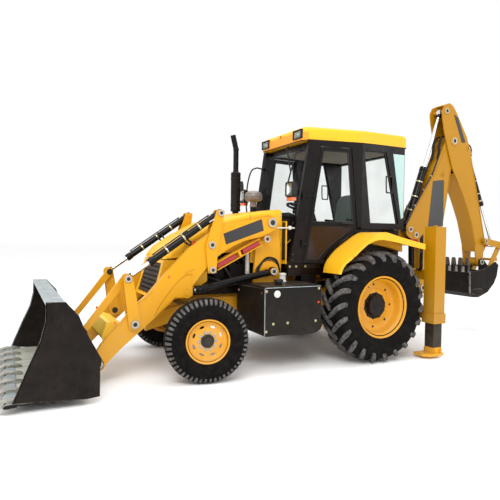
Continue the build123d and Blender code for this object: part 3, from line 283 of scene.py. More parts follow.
m = Mat("tyre_rubber", srgb(6, 5, 5), 0.66, spec=0.07)
m.vary(5, 0.5, srgb(17, 15, 15))
m.over(srgb(84, 78, 72), m.math("MULTIPLY", m.ramp(m.noise(16, 7, 0.7), [(0.4, 0), (0.75, 1)]), 0.1), 0.8)
m.edges(srgb(104, 98, 92), 0.007, 0.4, 0.8)
m.rough_vary(20, -0.1, 0.12)
m.grain(260, 0.0003)
tyre_m = m.done()

m = Mat("tread_worn", srgb(36, 33, 33), 0.58, spec=0.18)
m.over(srgb(150, 146, 142), m.math("MULTIPLY", m.ramp(m.noise(22, 7, 0.7), [(0.35, 0), (0.7, 1)]), 0.5), 0.7)
m.over(srgb(26, 24, 24), m.ramp(m.noise(70, 5, 0.7), [(0.55, 0), (0.68, 0.8)]), 0.8)
m.grain(240, 0.0004)
tread_m = m.done()

m = Mat("chrome_rod", srgb(222, 224, 226), 0.1, metal=1.0)
m.over(srgb(120, 110, 90), m.math("MULTIPLY", m.ramp(m.noise(18, 6), [(0.55, 0), (0.8, 1)]), 0.25), 0.3)
m.grain(30, 0.00003, 2, (1, 1, 12))
chrome = m.done()

m = Mat("bare_steel", srgb(168, 166, 160), 0.38, metal=0.9)
m.over(srgb(86, 80, 72), m.math("MULTIPLY", m.ramp(m.noise(40, 6, 0.7), [(0.4, 0), (0.7, 1)]), 0.5), 0.55)
m.over(RUST, m.math("MULTIPLY", m.ramp(m.noise(28, 7, 0.7), [(0.56, 0), (0.68, 1)]), 0.35), 0.8)
m.grain(180, 0.00015)
steel = m.done()

m = Mat("grease_cap", srgb(176, 170, 158), 0.34, metal=0.35, coat=0.2)
m.over(srgb(120, 112, 100), m.math("MULTIPLY", m.ramp(m.noise(60, 5, 0.7), [(0.45, 0), (0.7, 1)]), 0.6), 0.55)
m.grain(200, 0.00012)
ring_m = m.done()

m = Mat("pin_end", srgb(62, 58, 54), 0.42, metal=0.7)
m.over(srgb(24, 22, 20), m.ramp(m.noise(90, 5, 0.7), [(0.45, 0), (0.65, 0.9)]), 0.55)
m.grain(220, 0.00015)
pin_m = m.done()

m = Mat("hose_rubber", srgb(16, 15, 16), 0.5, spec=0.25)
m.over(srgb(96, 88, 78), m.math("MULTIPLY", m.ramp(m.noise(26, 6), [(0.45, 0), (0.75, 1)]), 0.25), 0.8)
m.grain(420, 0.0003)
hose_m = m.done()

m = Mat("moulded_plastic", srgb(20, 19, 20), 0.5, spec=0.25)
m.vary(9, 0.4, srgb(52, 50, 50))
m.dust_and_top_highlight(0.3, srgb(130, 120, 108))
m.grain(320, 0.0003)
plastic = m.done()

m = Mat("cab_trim", srgb(72, 72, 70), 0.7)
m.vary(6, 0.3, srgb(48, 48, 47))
m.grain(300, 0.0005)
trim_m = m.done()

m = Mat("bucket_paint", srgb(9, 6, 5), 0.48, spec=0.11)
m.vary(3.5, 0.5, srgb(36, 28, 25))
m.over(srgb(110, 100, 88), m.math("MULTIPLY", m.ramp(m.noise(5, 8, 0.72, (1, 1, 0.35)), [(0.52, 0), (0.78, 1)]), 0.12), 0.7)
m.over(srgb(168, 164, 156), m.ramp(m.noise(46, 7, 0.7, (6, 1, 1)), [(0.68, 0), (0.72, 0.7)]), 0.5)
m.edges(srgb(150, 148, 144), 0.008, 0.75, 0.4)
m.dust_and_top_highlight(0.1, srgb(140, 128, 110), low=0.04)
m.grain(120, 0.0002)
bucket_k = m.done()

m = Mat("bucket_floor_worn", srgb(188, 190, 176), 0.5, metal=0.2)
m.over(srgb(140, 140, 126), m.ramp(m.noise(5, 8, 0.7, (1, 5, 1)), [(0.4, 0), (0.7, 0.8)]), 0.55)
m.over(srgb(104, 92, 74), m.math("MULTIPLY", m.ramp(m.noise(14, 7, 0.7), [(0.5, 0), (0.72, 1)]), 0.6), 0.8)
m.grain(90, 0.0005)
floor_m = m.done()

m = Mat("bucket_lip_worn", srgb(158, 168, 170), 0.42, metal=0.25)
m.over(srgb(92, 98, 100), m.ramp(m.noise(9, 8, 0.7, (1, 3, 1)), [(0.42, 0), (0.68, 0.85)]), 0.5)
m.over(srgb(60, 50, 44), m.ramp(m.noise(24, 7, 0.7), [(0.6, 0), (0.66, 0.9)]), 0.7)
m.grain(110, 0.0004)
lip_m = m.done()

m = Mat("tooth_steel", srgb(176, 174, 166), 0.36, metal=0.75)
m.over(srgb(96, 90, 80), m.ramp(m.noise(30, 7, 0.7, (0.4, 1, 1)), [(0.45, 0), (0.68, 0.85)]), 0.55)
m.over(RUST, m.math("MULTIPLY", m.ramp(m.noise(22, 7, 0.7), [(0.56, 0), (0.68, 1)]), 0.4), 0.8)
m.edges(srgb(214, 212, 206), 0.006, 0.7, 0.3)
m.grain(90, 0.0006)
tooth_m = m.done()

m = Mat("tooth_adapter", srgb(132, 130, 122), 0.45, metal=0.5)
m.over(srgb(196, 194, 184), m.ramp(m.noise(20, 7, 0.7, (0.5, 1, 1)), [(0.42, 0), (0.66, 0.9)]), 0.45)
m.grain(90, 0.0006)
adapter_m = m.done()

m = Mat("red_stripe", srgb(170, 26, 30), 0.4, coat=0.25)
m.over(srgb(96, 14, 18), m.ramp(m.noise(120, 4, 0.6), [(0.5, 0), (0.62, 0.7)]), 0.5)
m.vary(6, 0.3, srgb(120, 20, 24))
red_m = m.done()

m = Mat("badge_black", srgb(24, 21, 22), 0.28, coat=0.5)
m.vary(5, 0.3, srgb(40, 35, 34))
m.grain(180, 0.00006)
badge_m = m.done()

m = Mat("seat_cloth", srgb(92, 104, 100), 0.9)
wv = m.n("ShaderNodeTexWave", wave_type="BANDS", bands_direction="Z")
wv.inputs["Scale"].default_value = 140
m.link(m.co, wv.inputs["Vector"])
wv2 = m.n("ShaderNodeTexWave", wave_type="BANDS", bands_direction="Y")
wv2.inputs["Scale"].default_value = 140
m.link(m.co, wv2.inputs["Vector"])
weave = m.math("MULTIPLY", wv.outputs[1], wv2.outputs[1])
m.over(srgb(58, 70, 68), m.math("MULTIPLY", weave, 0.5))
m.vary(7, 0.4, srgb(70, 82, 78))
m.bump_from(weave, 0.0006)
m.b.inputs["Sheen Weight"].default_value = 0.25
seat_m = m.done()

m = Mat("seat_vinyl", srgb(60, 68, 66), 0.55)
m.vary(8, 0.3, srgb(40, 46, 45))
m.grain(380, 0.0005)
vinyl_m = m.done()

m = Mat("lamp_orange", srgb(232, 96, 22), 0.25, coat=0.5)
m.vary(40, 0.3, srgb(180, 52, 8))
# slight emission: the indicators' lamp glow; where the arm marks reuse this material it is a painted glow
m.b.inputs["Emission Color"].default_value = srgb(232, 96, 22)
m.b.inputs["Emission Strength"].default_value = 0.12
orange_m = m.done()

m = Mat("lamp_reflector", srgb(226, 226, 220), 0.16, metal=0.85)
m.over(srgb(150, 150, 146), m.ramp(m.noise(60, 3), [(0.45, 0), (0.6, 0.6)]), 0.25)
m.grain(90, 0.0004)
reflector_m = m.done()

m = Mat("filter_can", srgb(212, 210, 204), 0.4, coat=0.2)
m.vary(18, 0.4, srgb(160, 156, 148))
m.chips(srgb(110, 104, 96), 0.66, 50)
can_m = m.done()

m = Mat("pipe_paint", srgb(28, 27, 27), 0.35, coat=0.1, spec=0.3)
m.vary(20, 0.4, srgb(74, 70, 66))
pipe_m = m.done()

m = Mat("fitting_zinc", srgb(196, 186, 150), 0.34, metal=0.8)
m.vary(60, 0.5, srgb(120, 110, 84))
zinc_m = m.done()

m = Mat("fitting_red", srgb(208, 62, 24), 0.45)
m.vary(60, 0.4, srgb(150, 36, 14))
fit_red = m.done()

m = Mat("mirror_face", srgb(196, 204, 206), 0.04, metal=1.0)
m.vary(20, 0.15, srgb(150, 158, 160))
mirror_m = m.done()

m = Mat("grille_dark", srgb(36, 31, 28), 0.6, spec=0.2)
m.vary(12, 0.4, srgb(84, 76, 68))
m.grain(260, 0.0004)
grille_m = m.done()

m = Mat("headliner", srgb(120, 112, 98), 0.9)
m.vary(8, 0.3, srgb(86, 80, 70))
m.grain(300, 0.0006)
liner_m = m.done()


def glass_mat(name, tint, clear=0.82, rough=0.03, waist=0.0):
    g = bpy.data.materials.new(name)
    g.use_nodes = True
    t = g.node_tree
    t.nodes.remove(t.nodes["Principled BSDF"])
    out = t.nodes["Material Output"]
    tr = t.nodes.new("ShaderNodeBsdfTransparent")
    tr.inputs[0].default_value = tint
    gl = t.nodes.new("ShaderNodeBsdfPrincipled")
    gl.inputs["Base Color"].default_value = srgb(20, 26, 25)
    gl.inputs["Roughness"].default_value = rough
    gl.inputs["Specular IOR Level"].default_value = 0.6
    co = t.nodes.new("ShaderNodeTexCoord")
    nz = t.nodes.new("ShaderNodeTexNoise")
    nz.inputs["Scale"].default_value = 3.0
    nz.inputs["Detail"].default_value = 6.0
    t.links.new(co.outputs["Object"], nz.inputs["Vector"])
    lw = t.nodes.new("ShaderNodeLayerWeight")
    lw.inputs[0].default_value = 0.5
    pw = t.nodes.new("ShaderNodeMath")
    pw.operation = "POWER"
    pw.inputs[1].default_value = 4.0
    t.links.new(lw.outputs["Facing"], pw.inputs[0])
    fr = t.nodes.new("ShaderNodeMath")
    fr.operation = "MULTIPLY"
    fr.inputs[1].default_value = 0.45
    t.links.new(pw.outputs[0], fr.inputs[0])
    mr = t.nodes.new("ShaderNodeMapRange")
    t.links.new(nz.outputs[0], mr.inputs[0])
    mr.inputs[1].default_value, mr.inputs[2].default_value = 0.4, 0.75
    mr.inputs[3].default_value, mr.inputs[4].default_value = 1 - clear, 1 - clear + 0.06
    ad = t.nodes.new("ShaderNodeMath")
    ad.operation = "ADD"
    ad.use_clamp = True
    t.links.new(mr.outputs[0], ad.inputs[0])
    t.links.new(fr.outputs[0], ad.inputs[1])
    mx = t.nodes.new("ShaderNodeMixShader")
    t.links.new(ad.outputs[0], mx.inputs[0])
    t.links.new(tr.outputs[0], mx.inputs[1])
    t.links.new(gl.outputs[0], mx.inputs[2])
    if waist:
        # below the waist line the panes are near-black brown
        dk = t.nodes.new("ShaderNodeBsdfPrincipled")
        dk.inputs["Roughness"].default_value = 0.14
        dk.inputs["Specular IOR Level"].default_value = 0.3
        cr = t.nodes.new("ShaderNodeMix")
        cr.data_type = "RGBA"
        cr.inputs[6].default_value = srgb(22, 13, 10)
        cr.inputs[7].default_value = srgb(52, 32, 23)
        t.links.new(mr.outputs[0], cr.inputs[0])
        nz2 = t.nodes.new("ShaderNodeTexNoise")
        nz2.inputs["Scale"].default_value = 2.2
        nz2.inputs["Detail"].default_value = 4.0
        t.links.new(co.outputs["Object"], nz2.inputs["Vector"])
        t.links.new(nz2.outputs[0], cr.inputs[0])
        t.links.new(cr.outputs[2], dk.inputs["Base Color"])
        sp = t.nodes.new("ShaderNodeSeparateXYZ")
        t.links.new(co.outputs["Object"], sp.inputs[0])
        lt = t.nodes.new("ShaderNodeMath")
        lt.operation = "LESS_THAN"
        lt.inputs[1].default_value = waist
        t.links.new(sp.outputs[2], lt.inputs[0])
        m2 = t.nodes.new("ShaderNodeMixShader")
        t.links.new(lt.outputs[0], m2.inputs[0])
        t.links.new(mx.outputs[0], m2.inputs[1])
        t.links.new(dk.outputs[0], m2.inputs[2])
        t.links.new(m2.outputs[0], out.inputs[0])
        return g
    t.links.new(mx.outputs[0], out.inputs[0])
    return g


glass_m = glass_mat("cab_glass_tint", (0.985, 0.996, 0.99, 1), 0.985, waist=1.692)
glass_d = glass_mat("lower_glass_tint", (0.16, 0.12, 0.09, 1), 0.75)
lens_m = glass_mat("lamp_lens", (0.95, 0.96, 0.95, 1), 0.88)


def recolour(node, *mats):
    o = NODES[node]
    o.data.materials.clear()
    for x in mats:
        o.data.materials.append(x)


def finish_cad(node, material, bevel=3.0, angle=32, segs=2):
    """A carried-over CAD node: its material, rounded edges, smooth shading."""
    o = NODES[node]
    recolour(node, material)
    o.data.shade_smooth()
    o.data.set_sharp_from_angle(angle=radians(angle))
    if bevel > 0:
        d = o.modifiers.new("flat", "DECIMATE")
        d.decimate_type = "DISSOLVE"
        d.angle_limit = radians(1.5)
        b = o.modifiers.new("edge", "BEVEL")
        b.width = bevel / 1000
        b.segments = segs
        b.limit_method = "ANGLE"
        b.angle_limit = radians(angle)
        b.use_clamp_overlap = True
        b.harden_normals = True
    return o


# =====================================================================
# mesh building: everything in mm from the rear axle
# =====================================================================
def catmull(pts, per=8, closed=False):
    p = [Vector(q) for q in pts]
    n = len(p)
    out = []
    rng = range(n) if closed else range(n - 1)
    for i in rng:
        a = p[(i - 1) % n] if closed or i > 0 else p[0] * 2 - p[1]
        b, c = p[i], p[(i + 1) % n]
        d = p[(i + 2) % n] if closed or i < n - 2 else p[-1] * 2 - p[-2]
        for k in range(per):
            t = k / per
            out.append(0.5 * ((2 * b) + (c - a) * t + (2 * a - 5 * b + 4 * c - d) * t * t
                              + (3 * b - a - 3 * c + d) * t ** 3))
    if not closed:
        out.append(p[-1].copy())
    return out


def frame_of(axis):
    z = Vector(axis).normalized()
    x = z.orthogonal().normalized()
    if abs(z.z) < 0.99:
        x = Vector((0, 0, 1)).cross(z).normalized()
    return x, z.cross(x).normalized(), z


class Acc:
    """Collects shapes into one mesh object that rides on one body."""

    def __init__(self, name, material, body):
        self.name, self.material, self.body = name, material, body
        self.bm = bmesh.new()

    def v(self, p):
        return self.bm.verts.new(M(*p))

    def face(self, vs):
        try:
            return self.bm.faces.new(vs)
        except ValueError:
            return None

    def ring_faces(self, a, b, closed=True):
        n = len(a)
        for i in range(n if closed else n - 1):
            j = (i + 1) % n
            self.face((a[i], a[j], b[j], b[i]))

    def loft(self, sections, caps=True, closed=True):
        rings = [[self.v(p) for p in s] for s in sections]
        for a, b in zip(rings, rings[1:]):
            self.ring_faces(a, b, closed)
        if caps:
            self.face(list(reversed(rings[0])))
            self.face(rings[-1])
        return self

    def prism(self, pts, axis, a, b):
        """pts: (x, z) for axis y, (x, y) for axis z, (y, z) for axis x."""
        if axis == "y":
            f = lambda p, d: (p[0], d, p[1])
        elif axis == "z":
            f = lambda p, d: (p[0], p[1], d)
        else:
            f = lambda p, d: (d, p[0], p[1])
        return self.loft([[f(p, a) for p in pts], [f(p, b) for p in pts]])

    def box(self, x0, x1, y0, y1, z0, z1):
        return self.prism([(x0, y0), (x1, y0), (x1, y1), (x0, y1)], "z", z0, z1)

    def cyl(self, p0, p1, r0, r1=None, n=24, caps=True):
        r1 = r0 if r1 is None else r1
        p0, p1 = Vector(p0), Vector(p1)
        x, y, z = frame_of(p1 - p0)
        ring = lambda c, r: [c + (x * cos(2 * pi * i / n) + y * sin(2 * pi * i / n)) * r for i in range(n)]
        return self.loft([ring(p0, r0), ring(p1, r1)], caps)

    def lathe(self, prof, p, axis, n=32, caps=False, closed_profile=False, start=0.0, turn=2 * pi):
        """prof: (radius, height along axis)."""
        x, y, z = frame_of(axis)
        p = Vector(p)
        full = abs(turn - 2 * pi) < 1e-6
        cols = []
        for i in range(n if full else n + 1):
            a = start + turn * i / n
            d = x * cos(a) + y * sin(a)
            cols.append([self.v(p + d * r + z * h) for r, h in prof])
        for i in range(len(cols) if full else len(cols) - 1):
            a, b = cols[i], cols[(i + 1) % len(cols)]
            m_ = len(prof)
            for k in range(m_ if closed_profile else m_ - 1):
                l = (k + 1) % m_
                self.face((a[k], b[k], b[l], a[l]))
        if caps:
            self.face([c[0] for c in cols])
            self.face([c[-1] for c in reversed(cols)])
        return self

    def tube(self, pts, r, n=10, per=6, smooth=True, closed=False):
        path = catmull(pts, per, closed) if smooth and len(pts) > 2 else [Vector(q) for q in pts]
        tang = []
        for i in range(len(path)):
            if closed:
                t = path[(i + 1) % len(path)] - path[i - 1]
            else:
                t = path[min(i + 1, len(path) - 1)] - path[max(i - 1, 0)]
            tang.append(t.normalized())
        x = frame_of(tang[0])[0]
        secs = []
        for p, t in zip(path, tang):
            x = (x - t * x.dot(t)).normalized()
            y = t.cross(x)
            secs.append([p + (x * cos(2 * pi * k / n) + y * sin(2 * pi * k / n)) * r for k in range(n)])
        if closed:
            rings = [[self.v(q) for q in s] for s in secs]
            for i in range(len(rings)):
                self.ring_faces(rings[i], rings[(i + 1) % len(rings)])
        else:
            self.loft(secs)
        return self

    def bolt(self, p, axis, r=9, h=7, washer=True):
        x, y, z = frame_of(axis)
        p = Vector(p)
        if washer:
            self.lathe([(0.1, 2.5), (r * 1.55, 2.5), (r * 1.7, 1.5), (r * 1.7, -1)], p, axis, 18)
        q = p + z * 2
        ring = lambda rr, hh: [q + (x * cos(pi / 3 * i) + y * sin(pi / 3 * i)) * rr + z * hh for i in range(6)]
        self.loft([ring(r, 0), ring(r, h * 0.8), ring(r * 0.84, h)])
        return self

    def done(self, bevel=0.0, segs=2, angle=35, subsurf=0, replaces=None, slot=None, weld=False):
        bm = self.bm
        if weld:
            bmesh.ops.remove_doubles(bm, verts=bm.verts, dist=1e-5)
        bmesh.ops.recalc_face_normals(bm, faces=bm.faces)
        me = bpy.data.meshes.new(self.name)
        bm.to_mesh(me)
        bm.free()
        me.materials.append(self.material)
        o = bpy.data.objects.new(self.name, me)
        bpy.context.scene.collection.objects.link(o)
        me.shade_smooth()
        me.set_sharp_from_angle(angle=radians(angle))
        if bevel > 0:
            b = o.modifiers.new("edge", "BEVEL")
            b.width = bevel / 1000
            b.segments = segs
            b.limit_method = "ANGLE"
            b.angle_limit = radians(angle)
            b.harden_normals = True
        if subsurf:
            s = o.modifiers.new("smooth", "SUBSURF")
            s.levels = s.render_levels = subsurf
        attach(o, self.body)
        if replaces:
            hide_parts(*([replaces] if isinstance(replaces, str) else replaces))
        return o


def lerp(a, b, t):
    return a + (b - a) * t


def arc_pts(c, r, a0, a1, n):
    return [(c[0] + r * cos(radians(lerp(a0, a1, i / n))), c[1] + r * sin(radians(lerp(a0, a1, i / n)))) for i in range(n + 1)]

# =====================================================================
# carried-over CAD nodes
# =====================================================================
for nd in ("chassis_frame", "loader_towers"):
    finish_cad(nd, paint_y, 4)
for nd in ("rear_frame", "carriage", "kingpost"):
    finish_cad(nd, paint_rear, 4)
for nd in ("loader_arms", "mid_levers", "level_links", "front_levers", "tipping_links"):
    finish_cad(nd, paint_arm, 3)
for nd in ("boom", "dipper", "hoe_rocker", "hoe_link"):
    finish_cad(nd, paint_rear, 3)
for nd in ("bonnet", "cowls"):
    finish_cad(nd, paint_hood, 0, 28)
for nd in ("engine_block", "axles", "knuckle_left", "knuckle_right"):
    finish_cad(nd, engine_k, 5)
for nd in ("cab_frame",):
    finish_cad(nd, cab_k, 5)
finish_cad("cab_base", panel_k, 4)
finish_cad("cab_roof", paint_hood, 0, 30)
finish_cad("cab_glass", glass_m, 0)
for s in ("left", "right"):
    finish_cad(f"door_{s}", cab_k, 3)
    finish_cad(f"door_glass_{s}", glass_m, 0)
finish_cad("mudguards", paint_hood, 0)
finish_cad("side_tanks", paint_k, 6)
finish_cad("stacks", paint_k, 3)
finish_cad("controls", plastic, 6)
finish_cad("head_lamps", plastic, 5)
finish_cad("grille", grille_m, 2)
finish_cad("seat", vinyl_m, 10)
for nd in ("tilt_barrels", "lift_barrels", "boom_ram_barrel", "dipper_ram_barrel", "hoe_bucket_ram_barrel"):
    finish_cad(nd, barrel_k, 2)
for nd in ("tilt_rods", "lift_rods", "boom_ram_rod", "dipper_ram_rod", "hoe_bucket_ram_rod"):
    finish_cad(nd, chrome, 1.5)
for nd in ("lever_pins", "link_pins", "bucket_pins"):
    finish_cad(nd, pin_m, 1.5)
for nd in ("loader_bucket", "hoe_bucket"):
    finish_cad(nd, bucket_k, 3)
for s in ("left", "right"):
    for e in ("front", "rear"):
        finish_cad(f"{e}_tyre_{s}", tyre_m, 0)
        finish_cad(f"{e}_rim_{s}", paint_rim, 0)


# =====================================================================
# helpers for holes and pins
# =====================================================================
def cut(o, cutter):
    """Cut the closed piece cutter out of o, and apply it."""
    b = o.modifiers.new("cut", "BOOLEAN")
    b.operation = "DIFFERENCE"
    b.object = cutter
    b.solver = "EXACT"
    bpy.context.view_layer.update()
    dg = bpy.context.evaluated_depsgraph_get()
    keep = [x for x in o.modifiers if x.type != "BOOLEAN"]
    for x in keep:
        x.show_viewport = False
    bpy.context.view_layer.update()
    dg = bpy.context.evaluated_depsgraph_get()
    me = bpy.data.meshes.new_from_object(o.evaluated_get(dg))
    for x in keep:
        x.show_viewport = True
    o.modifiers.remove(b)
    old = o.data
    o.data = me
    bpy.data.meshes.remove(old)
    bpy.data.objects.remove(cutter)
    o.data.shade_smooth()
    o.data.set_sharp_from_angle(angle=radians(35))
    return o


def pin_end(acc_ring, acc_pin, p, y, s, ro=40, ri=24, t=5):
    """Painted collar ring and the dark pin end inside it."""
    q = (p[0], s * y, p[1])
    ax = (0, s, 0)
    acc_ring.lathe([(ri - 1, 0), (ri - 1, t), (ri + 2, t + 1.2), (ro - 3, t + 1.2), (ro, t - 1), (ro, -2)], q, ax, 36)
    acc_pin.lathe([(0.1, t - 1.5), (ri * 0.35, t - 1.5), (ri * 0.42, t - 3), (ri * 0.8, t - 3), (ri * 0.9, t - 0.8), (ri, t - 0.8), (ri, -1)], q, ax, 28)


ARM_PIVOT, MID_PIVOT, MID_TOP, MID_LOW = (1263, 1675), (2027, 1413), (1923, 1769), (2017, 1136)
LEVEL_PIN, LIFT_BASE, LIFT_PIN = (1340, 1483), (1229, 1099), (2304, 895)
LEVER_PIVOT, LEVER_TOP, BUCKET_PIVOT, BUCKET_EAR = (2872, 592), (2943, 1066), (3235, 215), (3377, 516)
SLEW_X = -1360
BOOM_FOOT, BOOM_RAM_BASE, BOOM_RAM_PIN = (-1600, 760), (-1500, 960), (-1480, 1560)
DIPPER_PIVOT, DIPPER_RAM_BASE, DIPPER_TAIL = (-2217, 3033), (-1361, 1640), (-2033, 3477)
HOE_PIVOT, HOE_RAM_BASE, HOE_RAM_PIN = (-2860, 1130), (-2640, 2890), (-3312, 1401)
ROCKER_PIN, HOE_LINK_PIN = (-2918, 1470), (-3058, 994)

# =====================================================================
# wheels
# =====================================================================
def tyre_carcass(acc, prof, c, ax, n, wob=0.0, pitch=1):
    x, y, z = frame_of(ax)
    c = Vector(c)
    cols = []
    for i in range(n):
        a = 2 * pi * i / n
        d = x * cos(a) + y * sin(a)
        k = wob * (1 if (i // max(1, n // (2 * pitch))) % 2 else -1) if wob else 0
        cols.append([acc.v(c + d * r + z * (h + (k if g else 0))) for r, h, g in prof])
    for i in range(n):
        a, b = cols[i], cols[(i + 1) % n]
        for k in range(len(prof) - 1):
            acc.face((a[k], b[k], b[k + 1], a[k + 1]))


A0 = radians(-10)
for s, name in ((1, "left"), (-1, "right")):
    # ---- front tyre
    c = Vector((2170 - s * 190 * sin(A0), s * 700 + s * 190 * cos(A0), 436))
    ax = Vector((-s * sin(A0), s * cos(A0), 0))
    body = f"front_wheel_{name}"
    t = Acc(f"front_tyre_{name}_carcass", tyre_m, body)
    half = [(205, 86, 0), (214, 90, 0), (229, 93, 0), (238, 98, 0), (262, 110, 0), (268, 115, 0), (272, 115, 0), (278, 116, 0),
            (306, 123, 0), (332, 124.5, 0), (348, 124, 0), (352, 122, 0), (360, 121, 0), (384, 114, 0), (404, 103, 0),
            (416, 88, 0), (421, 74, 0), (424, 66, 1)]
    ribs = [(433, 64, 1), (435, 42, 1), (425, 39, 1), (425, 31, 1), (435.5, 28, 1), (436, 14, 1), (426, 11, 1), (426, 5, 1),
            (436, 3, 1)]
    prof = half + ribs
    prof = prof + [(r, -h, g) for r, h, g in reversed(prof)]
    tyre_carcass(t, prof, c, ax, 192, 2.5, 48)
    t.done(angle=40, replaces=f"front_tyre_{name}", slot="tyre")
    tr = Acc(f"front_tyre_{name}_lugs", tread_m, body)
    x, y, z = frame_of(ax)
    n = 50
    for i in range(n):
        for side in (1, -1):
            a0 = 2 * pi * (i + (0.5 if side < 0 else 0)) / n
            secs = []
            for hb, rb, ht, rt, w in ((70, 420, 70, 434.5, 27), (88, 414, 92, 429, 29), (100, 402, 106, 415, 29),
                                      (108, 388, 116, 396, 26), (114, 374, 120, 379, 22)):
                dw = w / 2 / 420
                sec = []
                for hh, rr, e in ((hb, rb, -1.12), (ht, rt, -0.92), (ht, rt, 0.92), (hb, rb, 1.12)):
                    a = a0 + dw * e
                    sec.append(c + (x * cos(a) + y * sin(a)) * rr + z * (side * hh))
                secs.append(sec)
            tr.loft(secs)
    tr.done(bevel=1.5, segs=1, angle=30, slot="tyre")

    # ---- front rim
    r_ = Acc(f"front_rim_{name}_dish", paint_rim, body)
    shell = [(229, 90), (231, 98), (228, 104), (222, 105), (216, 101), (213, 92), (207, 84), (203, 70), (199, 56), (190, 47),
             (178, 43), (160, 44), (122, 52), (104, 56), (70, 57), (70, 46), (104, 45), (150, 34), (182, 32), (194, 34),
             (200, 20), (200, -86), (212, -96), (222, -102), (230, -96), (226, -88), (206, -80), (206, 60), (212, 80)]
    r_.lathe(shell, c, ax, 96, closed_profile=True)
    rim = r_.done(angle=30, replaces=f"front_rim_{name}", slot="rim_paint")
    cu = Acc("cutter", paint_rim, body)
    for i in range(8):
        a = 2 * pi * (i + 0.5) / 8
        d, e = x * cos(a) + y * sin(a), -x * sin(a) + y * cos(a)
        ring = [(27 * cos(2 * pi * k / 20), 12.5 * sin(2 * pi * k / 20)) for k in range(20)]
        cu.loft([[c + d * (150 + v) + e * u + z * h for u, v in ring] for h in (15, 75)])
    cut(rim, cu.done())
    hb = Acc(f"front_hub_{name}", pin_m, body)
    hb.lathe([(71, 40), (71, 58), (66, 62), (52, 64), (50, 66), (50, 92), (46, 98), (20, 101), (0.1, 101)], c, ax, 48)
    for i in range(6):
        a = 2 * pi * i / 6
        hb.bolt(c + (x * cos(a) + y * sin(a)) * 33 + z * 99, ax, 5, 4, False)
    hb.done(bevel=1)
    nb = Acc(f"front_wheel_nuts_{name}", ring_m, body)
    for i in range(10):
        a = 2 * pi * i / 10
        q = c + (x * cos(a) + y * sin(a)) * 89 + z * 57
        nb.bolt(q, ax, 11, 13)
        nb.cyl(q + z * 8, q + z * 21, 5.5, n=10)
    q = c + (x * cos(0.6) + y * sin(0.6)) * 196 + z * 52
    nb.cyl(q, q + z * 22 - (x * cos(0.6) + y * sin(0.6)) * 14, 4, n=8)
    nb.done(bevel=0.6, segs=1)

    # ---- rear tyre
    c = Vector((0, s * 885, 677))
    ax = Vector((0, s, 0))
    body = f"rear_wheel_{name}"
    t = Acc(f"rear_tyre_{name}_carcass", tyre_m, body)
    half = [(341, 160, 0), (360, 166, 0), (375, 170, 0), (386, 178, 0), (404, 188, 0), (412, 194, 0), (418, 194, 0), (430, 199, 0),
            (470, 209, 0), (510, 213, 0), (534, 213, 0), (540, 210, 0), (556, 207, 0), (588, 198, 0), (612, 182, 0),
            (628, 158, 0), (637, 120, 0), (642, 60, 0), (643, 0, 0)]
    prof = half + [(r, -h, g) for r, h, g in reversed(half[:-1])]
    tyre_carcass(t, prof, c, ax, 144)
    t.done(angle=50, replaces=f"rear_tyre_{name}", slot="tyre")
    tr = Acc(f"rear_tyre_{name}_lugs", tread_m, body)
    n = 22
    for i in range(n):
        for side in (1, -1):
            a0 = 2 * pi * (i + (0.5 if side < 0 else 0)) / n
            secs = []
            for hb_, rb, ht, rt, off, w in ((-10, 640, -8, 674, -0.8, 40), (2, 640, 4, 677, 0.2, 50), (50, 640, 52, 677, 3.4, 54),
                                            (106, 637, 110, 675, 7.4, 60), (146, 628, 156, 667, 10.4, 66), (172, 612, 191, 648, 12.4, 68),
                                            (190, 590, 209, 622, 13.6, 64), (198, 568, 214, 592, 14.4, 56), (204, 548, 212, 560, 14.8, 46)):
                a = a0 - radians(off)
                dw = w / 2 / 650
                sec = []
                for hh, rr, e in ((hb_, rb, -1.25), (ht, rt, -0.88), (ht, rt, 0.88), (hb_, rb, 1.25)):
                    g = a + dw * e
                    sec.append(Vector((c.x + sin(g) * rr, c.y + side * hh, c.z + cos(g) * rr)))
                secs.append(sec)
            tr.loft(secs)
    tr.done(bevel=3, segs=2, angle=28, slot="tyre")

    # ---- rear rim and hub
    r_ = Acc(f"rear_rim_{name}_dish", paint_rim, body)
    shell = [(374, 166), (377, 176), (373, 184), (364, 185), (356, 180), (352, 170), (350, 156), (338, 140), (326, 128), (321, 112),
             (318, 60), (312, 28), (300, 12), (284, 4), (232, 2), (210, 8), (176, 26), (128, 30), (128, 18), (170, 14),
             (206, -4), (284, -8), (306, -2), (326, 20), (334, 110), (344, 130), (358, 148)]
    r_.lathe(shell, c, ax, 112, closed_profile=True)
    r_.lathe([(358, 150), (334, 112), (326, 20), (330, -120), (352, -150), (372, -168), (377, -178), (366, -184), (350, -176), (338, -140), (316, -110), (312, 20)],
             c, ax, 112, closed_profile=True)
    r_.done(angle=30, replaces=f"rear_rim_{name}", slot="rim_paint")
    x, y, z = frame_of(ax)
    hb = Acc(f"rear_hub_{name}", paint_k, body)
    hb.lathe([(127, 6), (127, 70), (121, 80), (116, 82), (112, 78), (60, 80), (54, 86), (0.1, 88)], c, ax, 56)
    hb.lathe([(160, 26), (160, 34), (128, 36)], c, ax, 48)
    for i in range(12):
        a = 2 * pi * i / 12
        hb.bolt(c + (x * cos(a) + y * sin(a)) * 119 + z * 78, ax, 6, 5, False)
    hb.done(bevel=1)
    nb = Acc(f"rear_wheel_nuts_{name}", pin_m, body)
    for i in range(10):
        a = 2 * pi * (i + 0.3) / 10
        q = c + (x * cos(a) + y * sin(a)) * 148 + z * 30
        nb.bolt(q, ax, 13, 14)
        nb.cyl(q + z * 10, q + z * 24, 7, n=10)
    for i in range(8):
        a = 2 * pi * i / 8
        nb.bolt(c + (x * cos(a) + y * sin(a)) * 262 + z * 2, ax, 9, 8)
    q = c + (x * cos(2.2) + y * sin(2.2)) * 322 + z * 90
